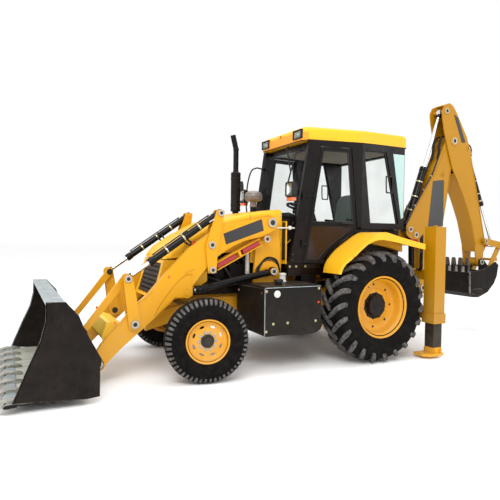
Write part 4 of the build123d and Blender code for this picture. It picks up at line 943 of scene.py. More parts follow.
    nb.cyl(q, q + z * 40 - (x * cos(2.2) + y * sin(2.2)) * 26, 5, n=8)
    nb.done(bevel=0.6, segs=1)

# =====================================================================
# loader: pins, arms' details, rams
# =====================================================================
ring_b, pin_b = {}, {}
for body, pins in (
    ("chassis", ((ARM_PIVOT, 578, 56, 33), (LEVEL_PIN, 594, 40, 22), (LIFT_BASE, 566, 42, 24))),
    ("mid_levers", ((MID_PIVOT, 594, 42, 22), (MID_TOP, 594, 38, 20), (MID_LOW, 594, 38, 20))),
    ("lever_pins", ((LEVER_PIVOT, 594, 44, 23),)),
    ("link_pins", ((LEVER_TOP, 594, 38, 20),)),
    ("bucket_pins", ((BUCKET_PIVOT, 594, 44, 24),)),
    ("loader_arms", ((LIFT_PIN, 560, 40, 22),)),
):
    a = Acc(f"pin_collars_{body}", ring_m, body)
    b = Acc(f"pin_ends_{body}", pin_m, body)
    for p, y, ro, ri in pins:
        for s in (1, -1):
            pin_end(a, b, p, y, s, ro, ri)
    a.done(bevel=0.8, segs=1)
    b.done()

# doubler plates and weld beads on the arms
dbl = Acc("arm_doublers", paint_arm, "loader_arms")
wld = Acc("arm_welds", paint_arm, "loader_arms")
for s in (1, -1):
    y = 560 * s
    outl = [(2240, 872), (2262, 846), (2300, 838), (2440, 850), (2500, 800), (2640, 676), (2600, 770), (2430, 990), (2330, 1075), (2262, 1085)]
    # raised edge of the lift-pin doubler, with the long crease above it
    dbl.loft([[(px, y, pz) for px, pz in outl], [(px + (2380 - px) * 0.02, y + 7 * s, pz + (930 - pz) * 0.02) for px, pz in outl]])
    wld.tube([(2244, y + 4 * s, 1098), (2330, y + 5 * s, 1090), (2440, y + 5 * s, 1002), (2612, y + 5 * s, 780), (2668, y + 4 * s, 672)], 6, 8)
    wld.tube([(2222, y + 3 * s, 1150), (2300, y + 4 * s, 1130), (2380, y + 4 * s, 1062)], 5, 8)
    # cast boss for the front lever and plate seam beside it
    wld.tube([(2690, y + 2 * s, 935), (2740, y + 3 * s, 884), (2884, y + 3 * s, 770), (3018, y + 3 * s, 606)], 5, 8)
    wld.tube([(1420, y + 0.5 * s, 1532), (1640, y + 0.5 * s, 1476), (1770, y + 0.5 * s, 1420), (1900, y + 0.5 * s, 1340)], 3.5, 8)
    dbl.lathe([(62, -2), (62, 6), (58, 9), (44, 9)], (LIFT_PIN[0], y, LIFT_PIN[1]), (0, s, 0), 40)
    dbl.lathe([(74, -2), (74, 5), (70, 8), (46, 8)], (BUCKET_PIVOT[0], y, BUCKET_PIVOT[1]), (0, s, 0), 40)
dbl.done(bevel=2.5)
wld.done()

# box-section cover over the cross tube between the arms; its paler yellow is a painted highlight
COV_Y = 380
cover_highlight_m = paint("paint_cover_highlight", srgb(250, 206, 70), low=0.02, top=0.1, edge=0.1)
cov = Acc("cross_tube_cover", cover_highlight_m, "loader_arms")
cov.prism([(3172, 448), (3118, 592), (3086, 604), (2940, 556), (2930, 530), (3040, 396), (3066, 386), (3160, 416)], "y", -COV_Y, COV_Y)
for y in (-COV_Y, COV_Y):
    cov.prism([(3176, 446), (3121, 596), (3087, 608), (2936, 559), (2925, 530), (3037, 392), (3066, 382), (3165, 413)], "y", y - 5, y + 5)
cov.done(bevel=7)

# level links: channel lips and the red infill between them
for body in ("level_links",):
    ch = Acc("level_link_flanges", paint_arm, body)
    rd = Acc("level_link_infill", red_m, body)
    dx, dz = MID_LOW[0] - LEVEL_PIN[0], MID_LOW[1] - LEVEL_PIN[1]
    L = hypot(dx, dz)
    ux, uz = dx / L, dz / L
    nx, nz = -uz, ux
    P = lambda a, b, y: (LEVEL_PIN[0] + ux * a + nx * b, y, LEVEL_PIN[1] + uz * a + nz * b)
    for s in (1, -1):
        for b0, b1 in ((33, 44), (-44, -33)):
            ch.loft([[P(a, b, y) for a, b, y in ((66, b0, 484 * s), (66, b1, 484 * s), (66, b1, 552 * s), (66, b0, 552 * s))],
                     [P(a, b, y) for a, b, y in ((L - 60, b0, 484 * s), (L - 60, b1, 484 * s), (L - 60, b1, 552 * s), (L - 60, b0, 552 * s))]])
        for a0, a1 in ((84, 330), (410, L - 74)):
            rd.loft([[P(a, b, 486 * s) for a, b in ((a0, -30), (a1, -30), (a1 - 14, 30), (a0 + 14, 30))],
                     [P(a, b, 540 * s) for a, b in ((a0 + 4, -26), (a1 - 4, -26), (a1 - 16, 26), (a0 + 16, 26))]])
        # clamp band on the infill
        ch.loft([[P(a, b, y) for a, b, y in ((a_, -34, 490 * s), (a_, 34, 490 * s), (a_, 34, 546 * s), (a_, -34, 546 * s))] for a_ in (352, 384)])
    ch.done(bevel=2)
    rd.done(bevel=3)


EYE_L = 60


def ram_dress(name, body_b, body_r, base, tip, y, r, length, rr, rod_len, pipe=True, seal=True, eye=92):
    """End gland, weld rings, hard pipe and clamps of a ram, in its own line."""
    b = Vector((base[0], y, base[1]))
    t = Vector((tip[0], y, tip[1]))
    u = (t - b).normalized()
    up = Vector((0, 1, 0)).cross(u)
    if up.z < 0:
        up = -up
    a = Acc(f"{name}_gland", barrel_k, body_b)
    a.lathe([(rr + 0.6, length + 3), (rr + 8, length + 4), (r + 5, length + 1), (r + 6, length - 4), (r + 6, length - 58), (r + 1, length - 66)], b, u, 40)
    a.lathe([(r - 2, 92), (r + 4, 86), (r + 5, 74), (r - 6, 58)], b, u, 36)
    a.lathe([(r + 0.5, length * 0.5 - 8), (r + 3, length * 0.5 - 6), (r + 3, length * 0.5 + 6), (r + 0.5, length * 0.5 + 8)], b, u, 36)
    a.done(bevel=1.5)
    w = Acc(f"{name}_wiper_ring", ring_m, body_b)
    w.lathe([(rr + 0.8, length + 2), (rr + 1.2, length + 7), (rr + 6, length + 7), (rr + 7, length + 2)], b, u, 28)
    w.done()
    if pipe:
        pp = Acc(f"{name}_pipe", pipe_m, body_b)
        off = up * (r + 13)
        p0, p1 = b + u * 130 + up * (r - 2), b + u * (length - 92) + up * (r - 2)
        pp.tube([p0, p0 + up * 9 + u * 4, b + u * 150 + off, b + u * (length * 0.5) + off, b + u * (length - 112) + off, p1 + up * 9 - u * 4, p1], 7.5, 10, 5)
        pp.done()
        cl = Acc(f"{name}_clamps", zinc_m, body_b)
        for k in (0.3, 0.52, 0.76):
            q = b + u * length * k
            cl.lathe([(r + 1, -9), (r + 2.4, -8), (r + 2.4, 8), (r + 1, 9)], q, u, 32)
            x1 = Vector((0, 1, 0))
            cl.loft([[q + u * e + x1 * f + up * (r + g) for f, g in ((-11, 1), (11, 1), (9, 24), (-9, 24))] for e in (-8, 8)])
        for q in (p0, p1):
            cl.cyl(q - up * 6, q + up * 5, 12, n=6)
        cl.done(bevel=1)
    e = Acc(f"{name}_rod_end", barrel_k, body_r)
    e.lathe([(rr + 1, eye), (rr + 5, eye - 6), (rr + 8, eye * 0.65), (rr + 8, eye * 0.46), (rr - 2, 30)], t, -u, 32)
    e.done(bevel=1)


for s, tag in ((1, "l"), (-1, "r")):
    ram_dress(f"tilt_ram_{tag}", "tilt_barrels", "tilt_rods", MID_TOP, LEVER_TOP, 525 * s, 38, 963, 24, 700, eye=EYE_L)
    ram_dress(f"lift_ram_{tag}", "lift_barrels", "lift_rods", LIFT_BASE, LIFT_PIN, 525 * s, 40, 985, 23, 850, pipe=False)
    # short hose loop under the tilt ram with its red fitting
    h = Acc(f"tilt_hose_{tag}", hose_m, "loader_arms")
    h.tube([(2200, 488 * s, 1440), (2228, 464 * s, 1440), (2272, 450 * s, 1480), (2300, 462 * s, 1530), (2286, 486 * s, 1564)], 10, 10)
    h.tube([(2220, 504 * s, 1425), (2256, 480 * s, 1412), (2310, 464 * s, 1450), (2336, 474 * s, 1500), (2326, 494 * s, 1542)], 10, 10)
    h.done()
    f = Acc(f"tilt_hose_fitting_{tag}", fit_red, "loader_arms")
    f.cyl((2194, 488 * s, 1450), (2218, 478 * s, 1434), 13, n=6)
    f.cyl((2210, 506 * s, 1436), (2232, 498 * s, 1420), 13, n=6)
    f.done(bevel=1)
    # level indicator rod along the near tilt ram
    if s > 0:
        g = Acc("level_indicator_rod", chrome, "mid_levers")
        g.tube([(2010, 600, 1700), (2070, 600, 1664)], 6, 8, smooth=False)
        g.done()

# =====================================================================
# bonnet, engine bay and tank dressing
# =====================================================================
SIDES = ((1, "left"), (-1, "right"))
for s, nm in SIDES:
    # pressed swage line and lower flange of the hood
    Acc(f"hood_flange_{nm}", paint_hood, "bonnet").prism(
        [(1486, 1346), (2488, 1254), (2488, 1268), (1486, 1362)], "y", s * 399, s * 405).done(2)
    a = Acc(f"hood_catch_{nm}", plastic, "bonnet")
    a.tube([(2300, s * 404, 1290), (2300, s * 416, 1296), (2300, s * 416, 1330), (2300, s * 404, 1336)], 5)
    a.done()
    # filter, pipes and hoses in the open side of the engine bay
    a = Acc(f"fuel_filter_{nm}", can_m, "chassis")
    a.lathe([(0.1, 0), (20, 0), (27, 8), (27, 150), (29, 152), (29, 166), (27, 168), (27, 238), (22, 250), (0.1, 252)],
            (1486, s * 366, 1062), (0, 0, 1), 28)
    a.done()
    a = Acc(f"engine_parts_{nm}", engine_k, "chassis")
    for i in range(4):
        x = 1560 + i * 108
        a.lathe([(0.1, 0), (34, 0), (36, 6), (36, 40), (30, 46), (0.1, 48)], (x, s * 232, 1190), (0, s, 0), 20)
        a.box(x - 44, x + 44, s * 232, s * 262, 1225, 1322)
    a.box(1500, 2010, s * 231, s * 250, 1010, 1140)
    a.lathe([(0.1, 0), (62, 0), (70, 10), (70, 92), (58, 104), (0.1, 106)], (1840, s * 236, 1075), (0, s, 0), 30)
    a.lathe([(0.1, 0), (40, 0), (44, 5), (44, 30), (20, 34), (0.1, 35)], (1985, s * 240, 960), (0, s, 0), 30)
    for i in range(9):
        a.bolt((1520 + i * 58, s * 250, 1024), (0, s, 0), 8, 7)
        a.bolt((1520 + i * 58, s * 250, 1126), (0, s, 0), 8, 7)
    a.done(3)
    a = Acc(f"engine_pipes_{nm}", pipe_m, "chassis")
    for i in range(4):
        x = 1560 + i * 108
        a.tube([(x, s * 262, 1292), (x - 8, s * 292, 1300), (x - 50, s * 306, 1240), (1500, s * 300, 1150 - i * 14)], 6, 8)
    a.tube([(1990, s * 300, 1180), (1900, s * 330, 1205), (1780, s * 322, 1160), (1700, s * 318, 1050), (1640, s * 316, 960)], 17, 12)
    a.tube([(2000, s * 300, 1040), (1880, s * 336, 1010), (1760, s * 330, 968), (1620, s * 330, 940)], 13, 12)
    a.done()

# hoses looping over the tower and running down to the rams
for s, nm in SIDES:
    a = Acc(f"tower_hoses_{nm}", hose_m, "chassis")
    for k, dy in enumerate((456, 462, 468)):
        o = k * 19
        a.tube([(1420 - o, s * 446, 1050), (1425 - o, s * dy, 1110), (1352 - o, s * dy, 1196 + o), (1240, s * dy, 1226 + o),
                (1140, s * dy, 1186 + o), (1094, s * dy, 1090), (1090, s * 446, 1010)], 8.5, 10, 7)
    a.done()
    a = Acc(f"tower_clips_{nm}", zinc_m, "chassis")
    for x, z in ((1418, 1066), (1402, 1066), (1092, 1030)):
        a.lathe([(0.1, 0), (12, 0), (12, 26), (9, 30), (0.1, 30)], (x, s * 452, z), (0, 0, 1), 6)
    a.done(1)
    a = Acc(f"cowl_strip_{nm}", can_m, "chassis")
    a.prism([(1158, 1373), (1172, 1373), (1084, 1075), (1068, 1079)], "y", s * 401, s * 405)
    a.done(1.5)
    a = Acc(f"cowl_bolts_{nm}", zinc_m, "chassis")
    for x, z in ((1060, 1240), (1060, 1420), (1060, 1600), (1060, 1760), (1440, 1240)):
        a.bolt((x, s * 400, z), (0, s, 0), 7, 6)
    a.done()
    # pale rail with a round knob from the cowl to the pillar
    a = Acc(f"scuttle_rail_{nm}", can_m, "chassis")
    a.tube([(1180, s * 404, 1612), (1150, s * 470, 1616), (1000, s * 500, 1619), (880, s * 560, 1616)], 9, 12)
    a.lathe([(0.1, -24), (15, -22), (24, -10), (26, 2), (22, 16), (12, 24), (0.1, 25)], (985, s * 505, 1620), (0, s, 0), 24)
    a.done()

# tank lid, slanted front panel, caps and bolts
for s, nm in SIDES:
    a = Acc(f"tank_lid_{nm}", paint_k, "chassis")
    a.prism([(834, s * 474), (1556, s * 474), (1556, s * 963), (834, s * 963)], "z", 960.5, 968)
    a.prism([(850, s * 500), (1120, s * 500), (1120, s * 940), (850, s * 940)], "z", 968, 974)
    a.done(2.5)
    a = Acc(f"tank_front_panel_{nm}", paint_k, "chassis")
    a.prism([(1562, s * 958), (1572, s * 958), (1668, s * 520), (1668, s * 476), (1562, s * 476)], "z", 462, 952)
    a.done(5)
    a = Acc(f"tank_edges_{nm}", lip_m, "chassis")
    a.prism([(834, s * 960), (1556, s * 960), (1556, s * 964), (834, s * 964)], "z", 952, 960)
    a.prism([(1556, s * 957), (1563, s * 957), (1563, s * 963), (1556, s * 963)], "z", 440, 952)
    a.done(1)
    a = Acc(f"tank_cap_{nm}", can_m, "chassis")
    a.lathe([(0.1, 12), (22, 12), (30, 9), (38, 8), (40, 4), (40, -2)], (1408, s * 960, 886), (0, s, 0), 32)
    if s > 0:
        a.lathe([(0.1, 118), (30, 118), (44, 112), (46, 100), (46, 92), (40, 90), (40, 30), (48, 26), (48, 0)],
                (1099, 540, 962), (0, 0, 1), 32)
    a.done(1)
    a = Acc(f"tank_bolts_{nm}", zinc_m, "chassis")
    for x, z in ((1452, 560), (1270, 560), (900, 560), (1540, 920), (1540, 480), (860, 930)):
        a.bolt((x, s * 960, z), (0, s, 0), 9, 7)
    for y in (520, 920):
        a.bolt((1572 if y > 900 else 1664, s * y, 900), (1, 0, 0), 9, 7)
    a.done()
    a = Acc(f"tank_tag_{nm}", fit_red, "chassis")
    a.prism([(852, 762), (876, 762), (876, 784), (852, 784)], "y", s * 960.5, s * 964)
    a.done(1.5)
    # rounded sump under the tank
    a = Acc(f"under_sump_{nm}", engine_k, "chassis")
    secs = []
    for t, r, dz in ((0, 30, 40), (0.08, 84, 14), (0.25, 104, 4), (0.5, 110, 0), (0.75, 104, 4), (0.92, 84, 14), (1, 30, 40)):
        x = lerp(660, 1180, t)
        secs.append([(x, s * 700 + 150 * (r / 110) * cos(2 * pi * k / 24), 466 + 1.06 * r * sin(2 * pi * k / 24)) for k in range(24)])
    a.loft(secs)
    a.done(0, subsurf=1)
    a = Acc(f"filler_cap_{nm}", plastic, "chassis")
    if s > 0:
        a.lathe([(0.1, 34), (34, 34), (46, 30), (50, 22), (50, 0), (43, -3)], (1300, 800, 1000), (0, 0, 1), 30)
        for k in range(10):
            t = 2 * pi * k / 10
            a.box(1300 + 48 * cos(t) - 4, 1300 + 48 * cos(t) + 4, 800 + 48 * sin(t) - 4, 800 + 48 * sin(t) + 4, 1004, 1024)
    else:
        a.lathe([(0.1, 20), (24, 20), (30, 14), (30, -2)], (1300, -800, 966), (0, 0, 1), 30)
    a.done(1)

# =====================================================================
# grille frame and bars
# =====================================================================
a = Acc("grille_frame", paint_hood, "chassis")
for y in (-334, 330):
    a.prism([(2512, 1212), (2520, 1214), (2628, 852), (2618, 850)], "y", y, y + 6)
a.done(1.5)
a = Acc("grille_mesh", grille_m, "chassis")
for i in range(15):
    z = 868 + i * 23
    x = 2496 + (1242 - z) * 0.31
    a.prism([(x - 6, z), (x, z - 2), (x + 3, z + 3), (x - 3, z + 6)], "y", -322, 322)
for i in range(33):
    y = -320 + i * 20
    a.prism([(2488, 1200), (2491, 1200), (2593, 860), (2590, 860)], "y", y - 1.2, y + 1.2)
a.done()

# =====================================================================
# exhaust and pre-cleaner
# =====================================================================
a = Acc("muffler_shell", paint_k, "chassis")
a.lathe([(38.5, 1780), (40, 1826), (60, 1832), (64, 1842), (64, 1858), (62.6, 1862), (62.6, 2290), (64, 2296), (64, 2312),
         (60, 2326), (38, 2338), (36, 2352)], (1400, -175, 0), (0, 0, 1), 36)
for z in (1900, 2240):
    a.lathe([(63, z), (66, z + 3), (66, z + 19), (63, z + 22)], (1400, -175, 0), (0, 0, 1), 36)
a.lathe([(34.5, 2612), (37, 2616), (37, 2640), (34.5, 2644)], (1400, -175, 0), (0, 0, 1), 32)
a.done()
pre_m = Mat("precleaner_plastic", srgb(112, 100, 92), 0.4, coat=0.2)
pre_m.vary(14, 0.5, srgb(70, 60, 55))
# near-white top on the bowl's upward faces: a painted highlight, not dust
pre_m.dust_and_top_highlight(0.6, srgb(206, 198, 184))
pre_m.grain(200, 0.0003)
pre_m = pre_m.done()
a = Acc("precleaner_bowl", pre_m, "chassis")
a.lathe([(40.5, 1876), (46, 1880), (46, 1902), (41, 1906), (41, 1938), (60, 1944), (96, 1958), (108, 1972), (110, 1986),
         (106, 1990), (106, 1998), (111, 2002), (109, 2030), (98, 2052), (70, 2070), (30, 2081), (0.1, 2083)],
        (1290, 120, 0), (0, 0, 1), 48)
for k in range(24):
    t = 2 * pi * k / 24
    c, d = cos(t), sin(t)
    a.prism([(1290 + 104 * c - 3 * d, 120 + 104 * d + 3 * c), (1290 + 104 * c + 3 * d, 120 + 104 * d - 3 * c),
             (1290 + 113 * c + 3 * d, 120 + 113 * d - 3 * c), (1290 + 113 * c - 3 * d, 120 + 113 * d + 3 * c)], "z", 1972, 2000)
a.done(0.8)

# =====================================================================
# cab outside
# =====================================================================
def wall_y(x):
    return 706 if x < 60 else 706 - (x - 60) / 6.0


def on_wall(acc, pts, s, off0, off1):
    """Thin plate whose outline (x, z) lies on the cab's side wall."""
    acc.loft([[(x, s * (wall_y(x) + off0), z) for x, z in pts], [(x, s * (wall_y(x) + off1), z) for x, z in pts]])


def frame_ring(acc, pts, s, w, off0, off1):
    """Raised frame along a closed outline."""
    c = (sum(p[0] for p in pts) / len(pts), sum(p[1] for p in pts) / len(pts))
    n = len(pts)
    inner = []
    for p in pts:
        d = hypot(p[0] - c[0], p[1] - c[1])
        inner.append((p[0] + (c[0] - p[0]) * w / d, p[1] + (c[1] - p[1]) * w / d))
    for i in range(n):
        j = (i + 1) % n
        on_wall(acc, [pts[i], pts[j], inner[j], inner[i]], s, off0, off1)


# pale teal for the rear side pane: painted light on the glass, standing for the bright backdrop seen through it
teal_m = Mat("rear_pane", srgb(150, 182, 178), 0.08, coat=0.6)
teal_m.vary(2.5, 0.35, srgb(112, 146, 146))
teal_m.grain(6, 0.0006)
teal_m = teal_m.done()
seal_m = Mat("rubber_seal", srgb(20, 19, 20), 0.6)
seal_m.vary(30, 0.4, srgb(46, 44, 43))
seal_m.grain(300, 0.0002)
seal_m = seal_m.done()

for s, nm in SIDES:
    # lower corner panel with embossed frame
    a = Acc(f"corner_panel_{nm}", panel_k, "chassis")
    on_wall(a, [(866, 1204), (994, 1204), (924, 1668), (800, 1668)], s, 0.5, 3)
    frame_ring(a, [(862, 1198), (1002, 1198), (930, 1676), (790, 1676)], s, 26, 1, 9)
    a.done(2)
    # sill flange with a row of pale bolts
    a = Acc(f"sill_bolts_{nm}", zinc_m, "chassis")
    for x in (110, 250, 390, 530, 766, 900, 990):
        a.bolt((x, s * 524, 1152), (0, s, 0), 9, 7)
    for x, z in ((1006, 1230), (1000, 1300)):
        a.bolt((x - 30, s * (wall_y(x) + 1), z), (0, s, 0), 6, 5)
    a.done()
    # side step under the door
    a = Acc(f"step_{nm}", paint_k, "chassis")
    a.prism([(620, s * 530), (830, s * 530), (830, s * 700), (704, s * 700), (620, s * 636)], "z", 706, 716)
    a.prism([(620, s * 530), (830, s * 530), (830, s * 540), (620, s * 540)], "z", 706, 1040)
    a.prism([(704, s * 692), (830, s * 692), (830, s * 700), (704, s * 700)], "z", 690, 730)
    for k in range(9):
        a.box(632 + k * 22, 640 + k * 22, s * 545, s * min(688, 636 + k * 16.5), 716, 721)
    a.done(2)
    # opaque triangle behind the slanted rear pillar; its pale teal is painted light, standing for the bright backdrop
    # seen through the glass
    a = Acc(f"rear_side_pane_{nm}", teal_m, "chassis")
    a.prism([(-632, 1780), (-632, 2600), (-440, 2600), (-592, 1760)], "y", s * 706.5, s * 709)
    a.done(0.8)
    a = Acc(f"window_seals_{nm}", seal_m, "chassis")
    for q in ([(-86, 1694), (18, 2606), (-322, 2606), (-545, 1694)],):
        n = len(q)
        for i in range(n):
            j = (i + 1) % n
            a.tube([(q[i][0], s * 684, q[i][1]), (q[j][0], s * 684, q[j][1])], 7, 8, smooth=False)
    a.done()
    # hoop handle at the rear side window
    a = Acc(f"window_hoop_{nm}", plastic, "chassis")
    loop = [(-335, 2300), (-415, 2300), (-428, 2285), (-432, 2112), (-418, 2096), (-345, 2096), (-328, 2112), (-322, 2285)]
    a.tube([(x, s * 716, z) for x, z in loop], 9, 10, 4, closed=True)
    a.tube([(-429, s * 716, 2200), (-445, s * 700, 2200)], 7, 8)
    a.done()
    # door handle, rim frames around the door's panes
    body = f"door_{nm}"
    a = Acc(f"door_pull_{nm}", plastic, body)
    a.tube([(196, s * (wall_y(196) + 2), 1672), (200, s * (wall_y(196) + 34), 1680), (330, s * (wall_y(330) + 34), 1682),
            (336, s * (wall_y(330) + 2), 1674)], 8, 10)
    on_wall(a, [(180, 1652), (232, 1652), (232, 1696), (180, 1696)], s, -6, 6)
    a.done(1)
    a = Acc(f"door_seals_{nm}", seal_m, body)
    for q in ([(583, 2570), (716, 1700), (170, 1700), (252, 2570)],
              [(726, 1648), (788, 1240), (632, 1240), (592, 1290), (512, 1380), (432, 1444), (345, 1506), (262, 1562), (190, 1612), (172, 1648)]):
        n = len(q)
        for i in range(n):
            j = (i + 1) % n
            a.tube([(q[i][0], s * (wall_y(q[i][0]) - 14), q[i][1]), (q[j][0], s * (wall_y(q[j][0]) - 14), q[j][1])], 7, 8, smooth=False)
    a.done()
    # waist moulding
    a = Acc(f"waist_trim_{nm}", cab_k, body)
    on_wall(a, [(172, 1660), (742, 1660), (736, 1690), (172, 1690)], s, -5, 2)
    a.done(3)

# roof fascia, lights, latch, gutter
fascia_m = paint("paint_fascia", srgb(224, 144, 30), low=0.0, top=0.1, edge=0.1)
a = Acc("roof_fascia", fascia_m, "chassis")
prof = lambda y, x, k: [(x, y, 2694), (x + 5, y, 2694), (x + 6 - k, y, 2790), (x - 10 - k, y, 2832), (x - 15 - k, y, 2832)]
a.loft([prof(-498, 829, 0), prof(498, 829, 0)])
for s in (1, -1):
    a.loft([[(829 + 6, s * 499, 2694), (771 + 6, s * 560 + s * 4, 2694), (771 + 4, s * 560 + s * 2, 2790), (829 + 4, s * 499, 2790)],
            [(829, s * 498, 2694), (771, s * 559, 2694), (771, s * 559, 2790), (829, s * 498, 2790)]])
a.done(1.5)
for y, nm in ((413, "left"), (-413, "right")):
    a = Acc(f"roof_light_case_{nm}", plastic, "chassis")
    for q in ([(y - 98, 2716), (y + 98, 2716), (y + 98, 2732), (y - 98, 2732)], [(y - 98, 2812), (y + 98, 2812), (y + 98, 2828), (y - 98, 2828)],
              [(y - 98, 2716), (y - 82, 2716), (y - 82, 2828), (y - 98, 2828)], [(y + 82, 2716), (y + 98, 2716), (y + 98, 2828), (y + 82, 2828)]):
        a.prism(q, "x", 834, 852)
    a.prism([(y - 98, 2716), (y + 98, 2716), (y + 98, 2828), (y - 98, 2828)], "x", 822, 838)
    a.done(3)
    a = Acc(f"roof_light_bowl_{nm}", reflector_m, "chassis")
    a.loft([[(840, y - 80 + 0, 2734), (840, y + 80, 2734), (840, y + 80, 2810), (840, y - 80, 2810)],
            [(838.5, y - 30, 2758), (838.5, y + 30, 2758), (838.5, y + 30, 2786), (838.5, y - 30, 2786)]])
    for k in range(11):
        a.box(840, 842.5, y - 78 + k * 15, y - 72 + k * 15, 2734, 2810)
    a.lathe([(0.1, 10), (12, 8), (20, 3), (24, 0)], (840, y, 2772), (1, 0, 0), 24)
    a.done(1)
    a = Acc(f"roof_light_lens_{nm}", lens_m, "chassis")
    a.prism([(y - 81, 2733), (y + 81, 2733), (y + 81, 2811), (y - 81, 2811)], "x", 846, 849)
    a.done(1)
a = Acc("roof_gutter", cab_k, "chassis")
edge = [(-662, -700), (-662, 700), (-120, 706), (60, 700), (770, 560), (828, 500), (828, -500), (770, -560), (60, -700), (-120, -706)]
a.tube([(x, y, 2693) for x, y in edge], 7, 8, smooth=False, closed=True)
a.done()
a = Acc("roof_latch", fit_red, "chassis")
a.box(833, 846, -20, 4, 2800, 2826)
a.done(3)
roof = NODES["cab_roof"]
a = Acc("roof_ribs", paint_hood, "chassis")
for y in (-420, -140, 140, 420):
    a.loft([[(-560, y - 34, 2860.5), (-560, y + 34, 2860.5), (560, y + 34, 2860.5), (560, y - 34, 2860.5)],
            [(-545, y - 22, 2866), (-545, y + 22, 2866), (545, y + 22, 2866), (545, y - 22, 2866)]])
a.done(2)

# windscreen wiper
a = Acc("wiper_arm", plastic, "chassis")
a.tube([(806, 110, 2650), (830, 150, 2600), (862, 296, 2330)], 6, 8)
a.tube([(806, 134, 2648), (830, 174, 2596), (864, 306, 2340)], 4.5, 8)
a.lathe([(0.1, 26), (16, 24), (20, 14), (20, 0)], (790, 118, 2655), (1, 0, 0.2), 20)
a.tube([(820, 352, 2560), (864, 300, 2330), (905, 250, 2080)], 5.5, 8)
a.loft([[(812, 356, 2572), (818, 352, 2572), (826, 354, 2560), (820, 358, 2560)],
        [(890, 250, 2074), (896, 246, 2074), (904, 248, 2066), (898, 252, 2066)]])
a.done()

# head lamps with the indicator under them
for s, nm in SIDES:
    a = Acc(f"head_lamp_case_{nm}", plastic, "chassis")
    yc, zc = s * 640, 2072
    def rr(x, w, h, r=22):
        out = []
        for cx, cz, a0 in ((w - r, h - r, 0), (-w + r, h - r, 90), (-w + r, -h + r, 180), (w - r, -h + r, 270)):
            for k in range(5):
                t = radians(a0 + 22.5 * k)
                out.append((x, yc + cx + r * cos(t), zc + cz + r * sin(t)))
        return out
    a.loft([rr(1002, 40, 46, 18), rr(1010, 66, 74), rr(1040, 78, 84), rr(1092, 80, 86), rr(1092, 70, 76), rr(1076, 66, 72)], caps=False)
    a.face([a.v(p) for p in reversed(rr(1002, 40, 46, 18))])
    a.tube([(1012, s * 600, 2040), (960, s * 575, 2020), (905, s * 568, 1990)], 11, 10)
    a.tube([(1012, s * 600, 2100), (960, s * 580, 2090), (895, s * 568, 2080)], 8, 10)
    a.box(1012, 1080, yc - 62, yc + 62, 1976, 1990)
    a.done(1.2)
    a = Acc(f"head_lamp_bowl_{nm}", reflector_m, "chassis")
    a.loft([rr(1078, 67, 73), rr(1062, 46, 50), rr(1052, 18, 20, 10)], caps=False)
    a.lathe([(0.1, 16), (10, 14), (14, 0)], (1054, yc, zc), (1, 0, 0), 16)
    a.done()
    lamp_cream = lens_m
    a = Acc(f"head_lamp_lens_{nm}", lamp_cream, "chassis")
    a.loft([rr(1080, 69, 75), rr(1087, 60, 66), rr(1090, 30, 34, 14)], caps=False)
    a.face([a.v(p) for p in rr(1090, 30, 34, 14)])
    a.done()
    a = Acc(f"indicator_{nm}", orange_m, "chassis", )
    a.loft([[(1018, yc - 56, 1938), (1018, yc + 56, 1938), (1018, yc + 56, 1976), (1018, yc - 56, 1976)],
            [(1080, yc - 58, 1936), (1080, yc + 58, 1936), (1080, yc + 58, 1976), (1080, yc - 58, 1976)],
            [(1088, yc - 50, 1942), (1088, yc + 50, 1942), (1088, yc + 50, 1970), (1088, yc - 50, 1970)]])
    o = a.done(4, 3)
    if s > 0:
        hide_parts("head_lamps")

# far mirror on a tube hoop
for s, nm in ((-1, "right"),):
    a = Acc(f"mirror_hoop_{nm}", plastic, "chassis")
    a.tube([(905, s * 560, 1800), (1040, s * 560, 1830), (1042, s * 575, 2150), (985, s * 580, 2400), (900, s * 580, 2470), (812, s * 566, 2462)], 10, 10, 8)
    a.tube([(1042, s * 575, 2150), (1046, s * 640, 2160), (1046, s * 690, 2170)], 8, 8)
    a.lathe([(0.1, 0), (14, 0), (14, 20), (0.1, 20)], (900, s * 556, 1800), (0, s, 0), 16)
    a.done()
    a = Acc(f"mirror_case_{nm}", plastic, "chassis")
    secs = []
    for t, k in ((0, 0.55), (0.3, 0.85), (0.75, 1), (1, 1)):
        secs.append([(lerp(1074, 1034, t), s * 760 + 66 * k * cos(2 * pi * i / 28), 2180 + 118 * k * (abs(sin(2 * pi * i / 28)) ** 0.7) * (1 if sin(2 * pi * i / 28) > 0 else -1)) for i in range(28)])
    a.loft(secs)
    a.done(1)
    a = Acc(f"mirror_glass_{nm}", mirror_m, "chassis")
    a.loft([[(x, s * 760 + 58 * cos(2 * pi * i / 28), 2180 + 108 * (abs(sin(2 * pi * i / 28)) ** 0.7) * (1 if sin(2 * pi * i / 28) > 0 else -1)) for i in range(28)] for x in (1034, 1031)])
    a.done()

# =====================================================================
# cab inside
# =====================================================================
a = Acc("headliner", liner_m, "chassis")
a.loft([[(-600, -636, 2688), (-600, 636, 2688), (60, 630, 2688), (690, 520, 2688), (690, -520, 2688), (60, -630, 2688)],
        [(-590, -610, 2640), (-590, 610, 2640), (60, 604, 2640), (660, 496, 2640), (660, -496, 2640), (60, -604, 2640)],
        [(-520, -500, 2622), (-520, 500, 2622), (50, 496, 2622), (560, 400, 2622), (560, -400, 2622), (50, -496, 2622)]])
a.done(4)
a = Acc("floor_mat", trim_m, "chassis")
a.prism([(-560, -560), (60, -560), (960, -440), (960, 440), (60, 560), (-560, 560)], "z", 1181, 1190)
a.done(3)
a = Acc("dash_top", plastic, "chassis")
a.loft([[(1004, -440, 1420), (1004, 440, 1420), (1004, 440, 1730), (1004, -440, 1730)],
        [(900, -420, 1500), (900, 420, 1500), (900, 420, 1716), (900, -420, 1716)],
        [(800, -180, 1560), (800, 180, 1560), (800, 180, 1690), (800, -180, 1690)]])
a.done(10, 3)
a = Acc("gauge_binnacle", plastic, "chassis")
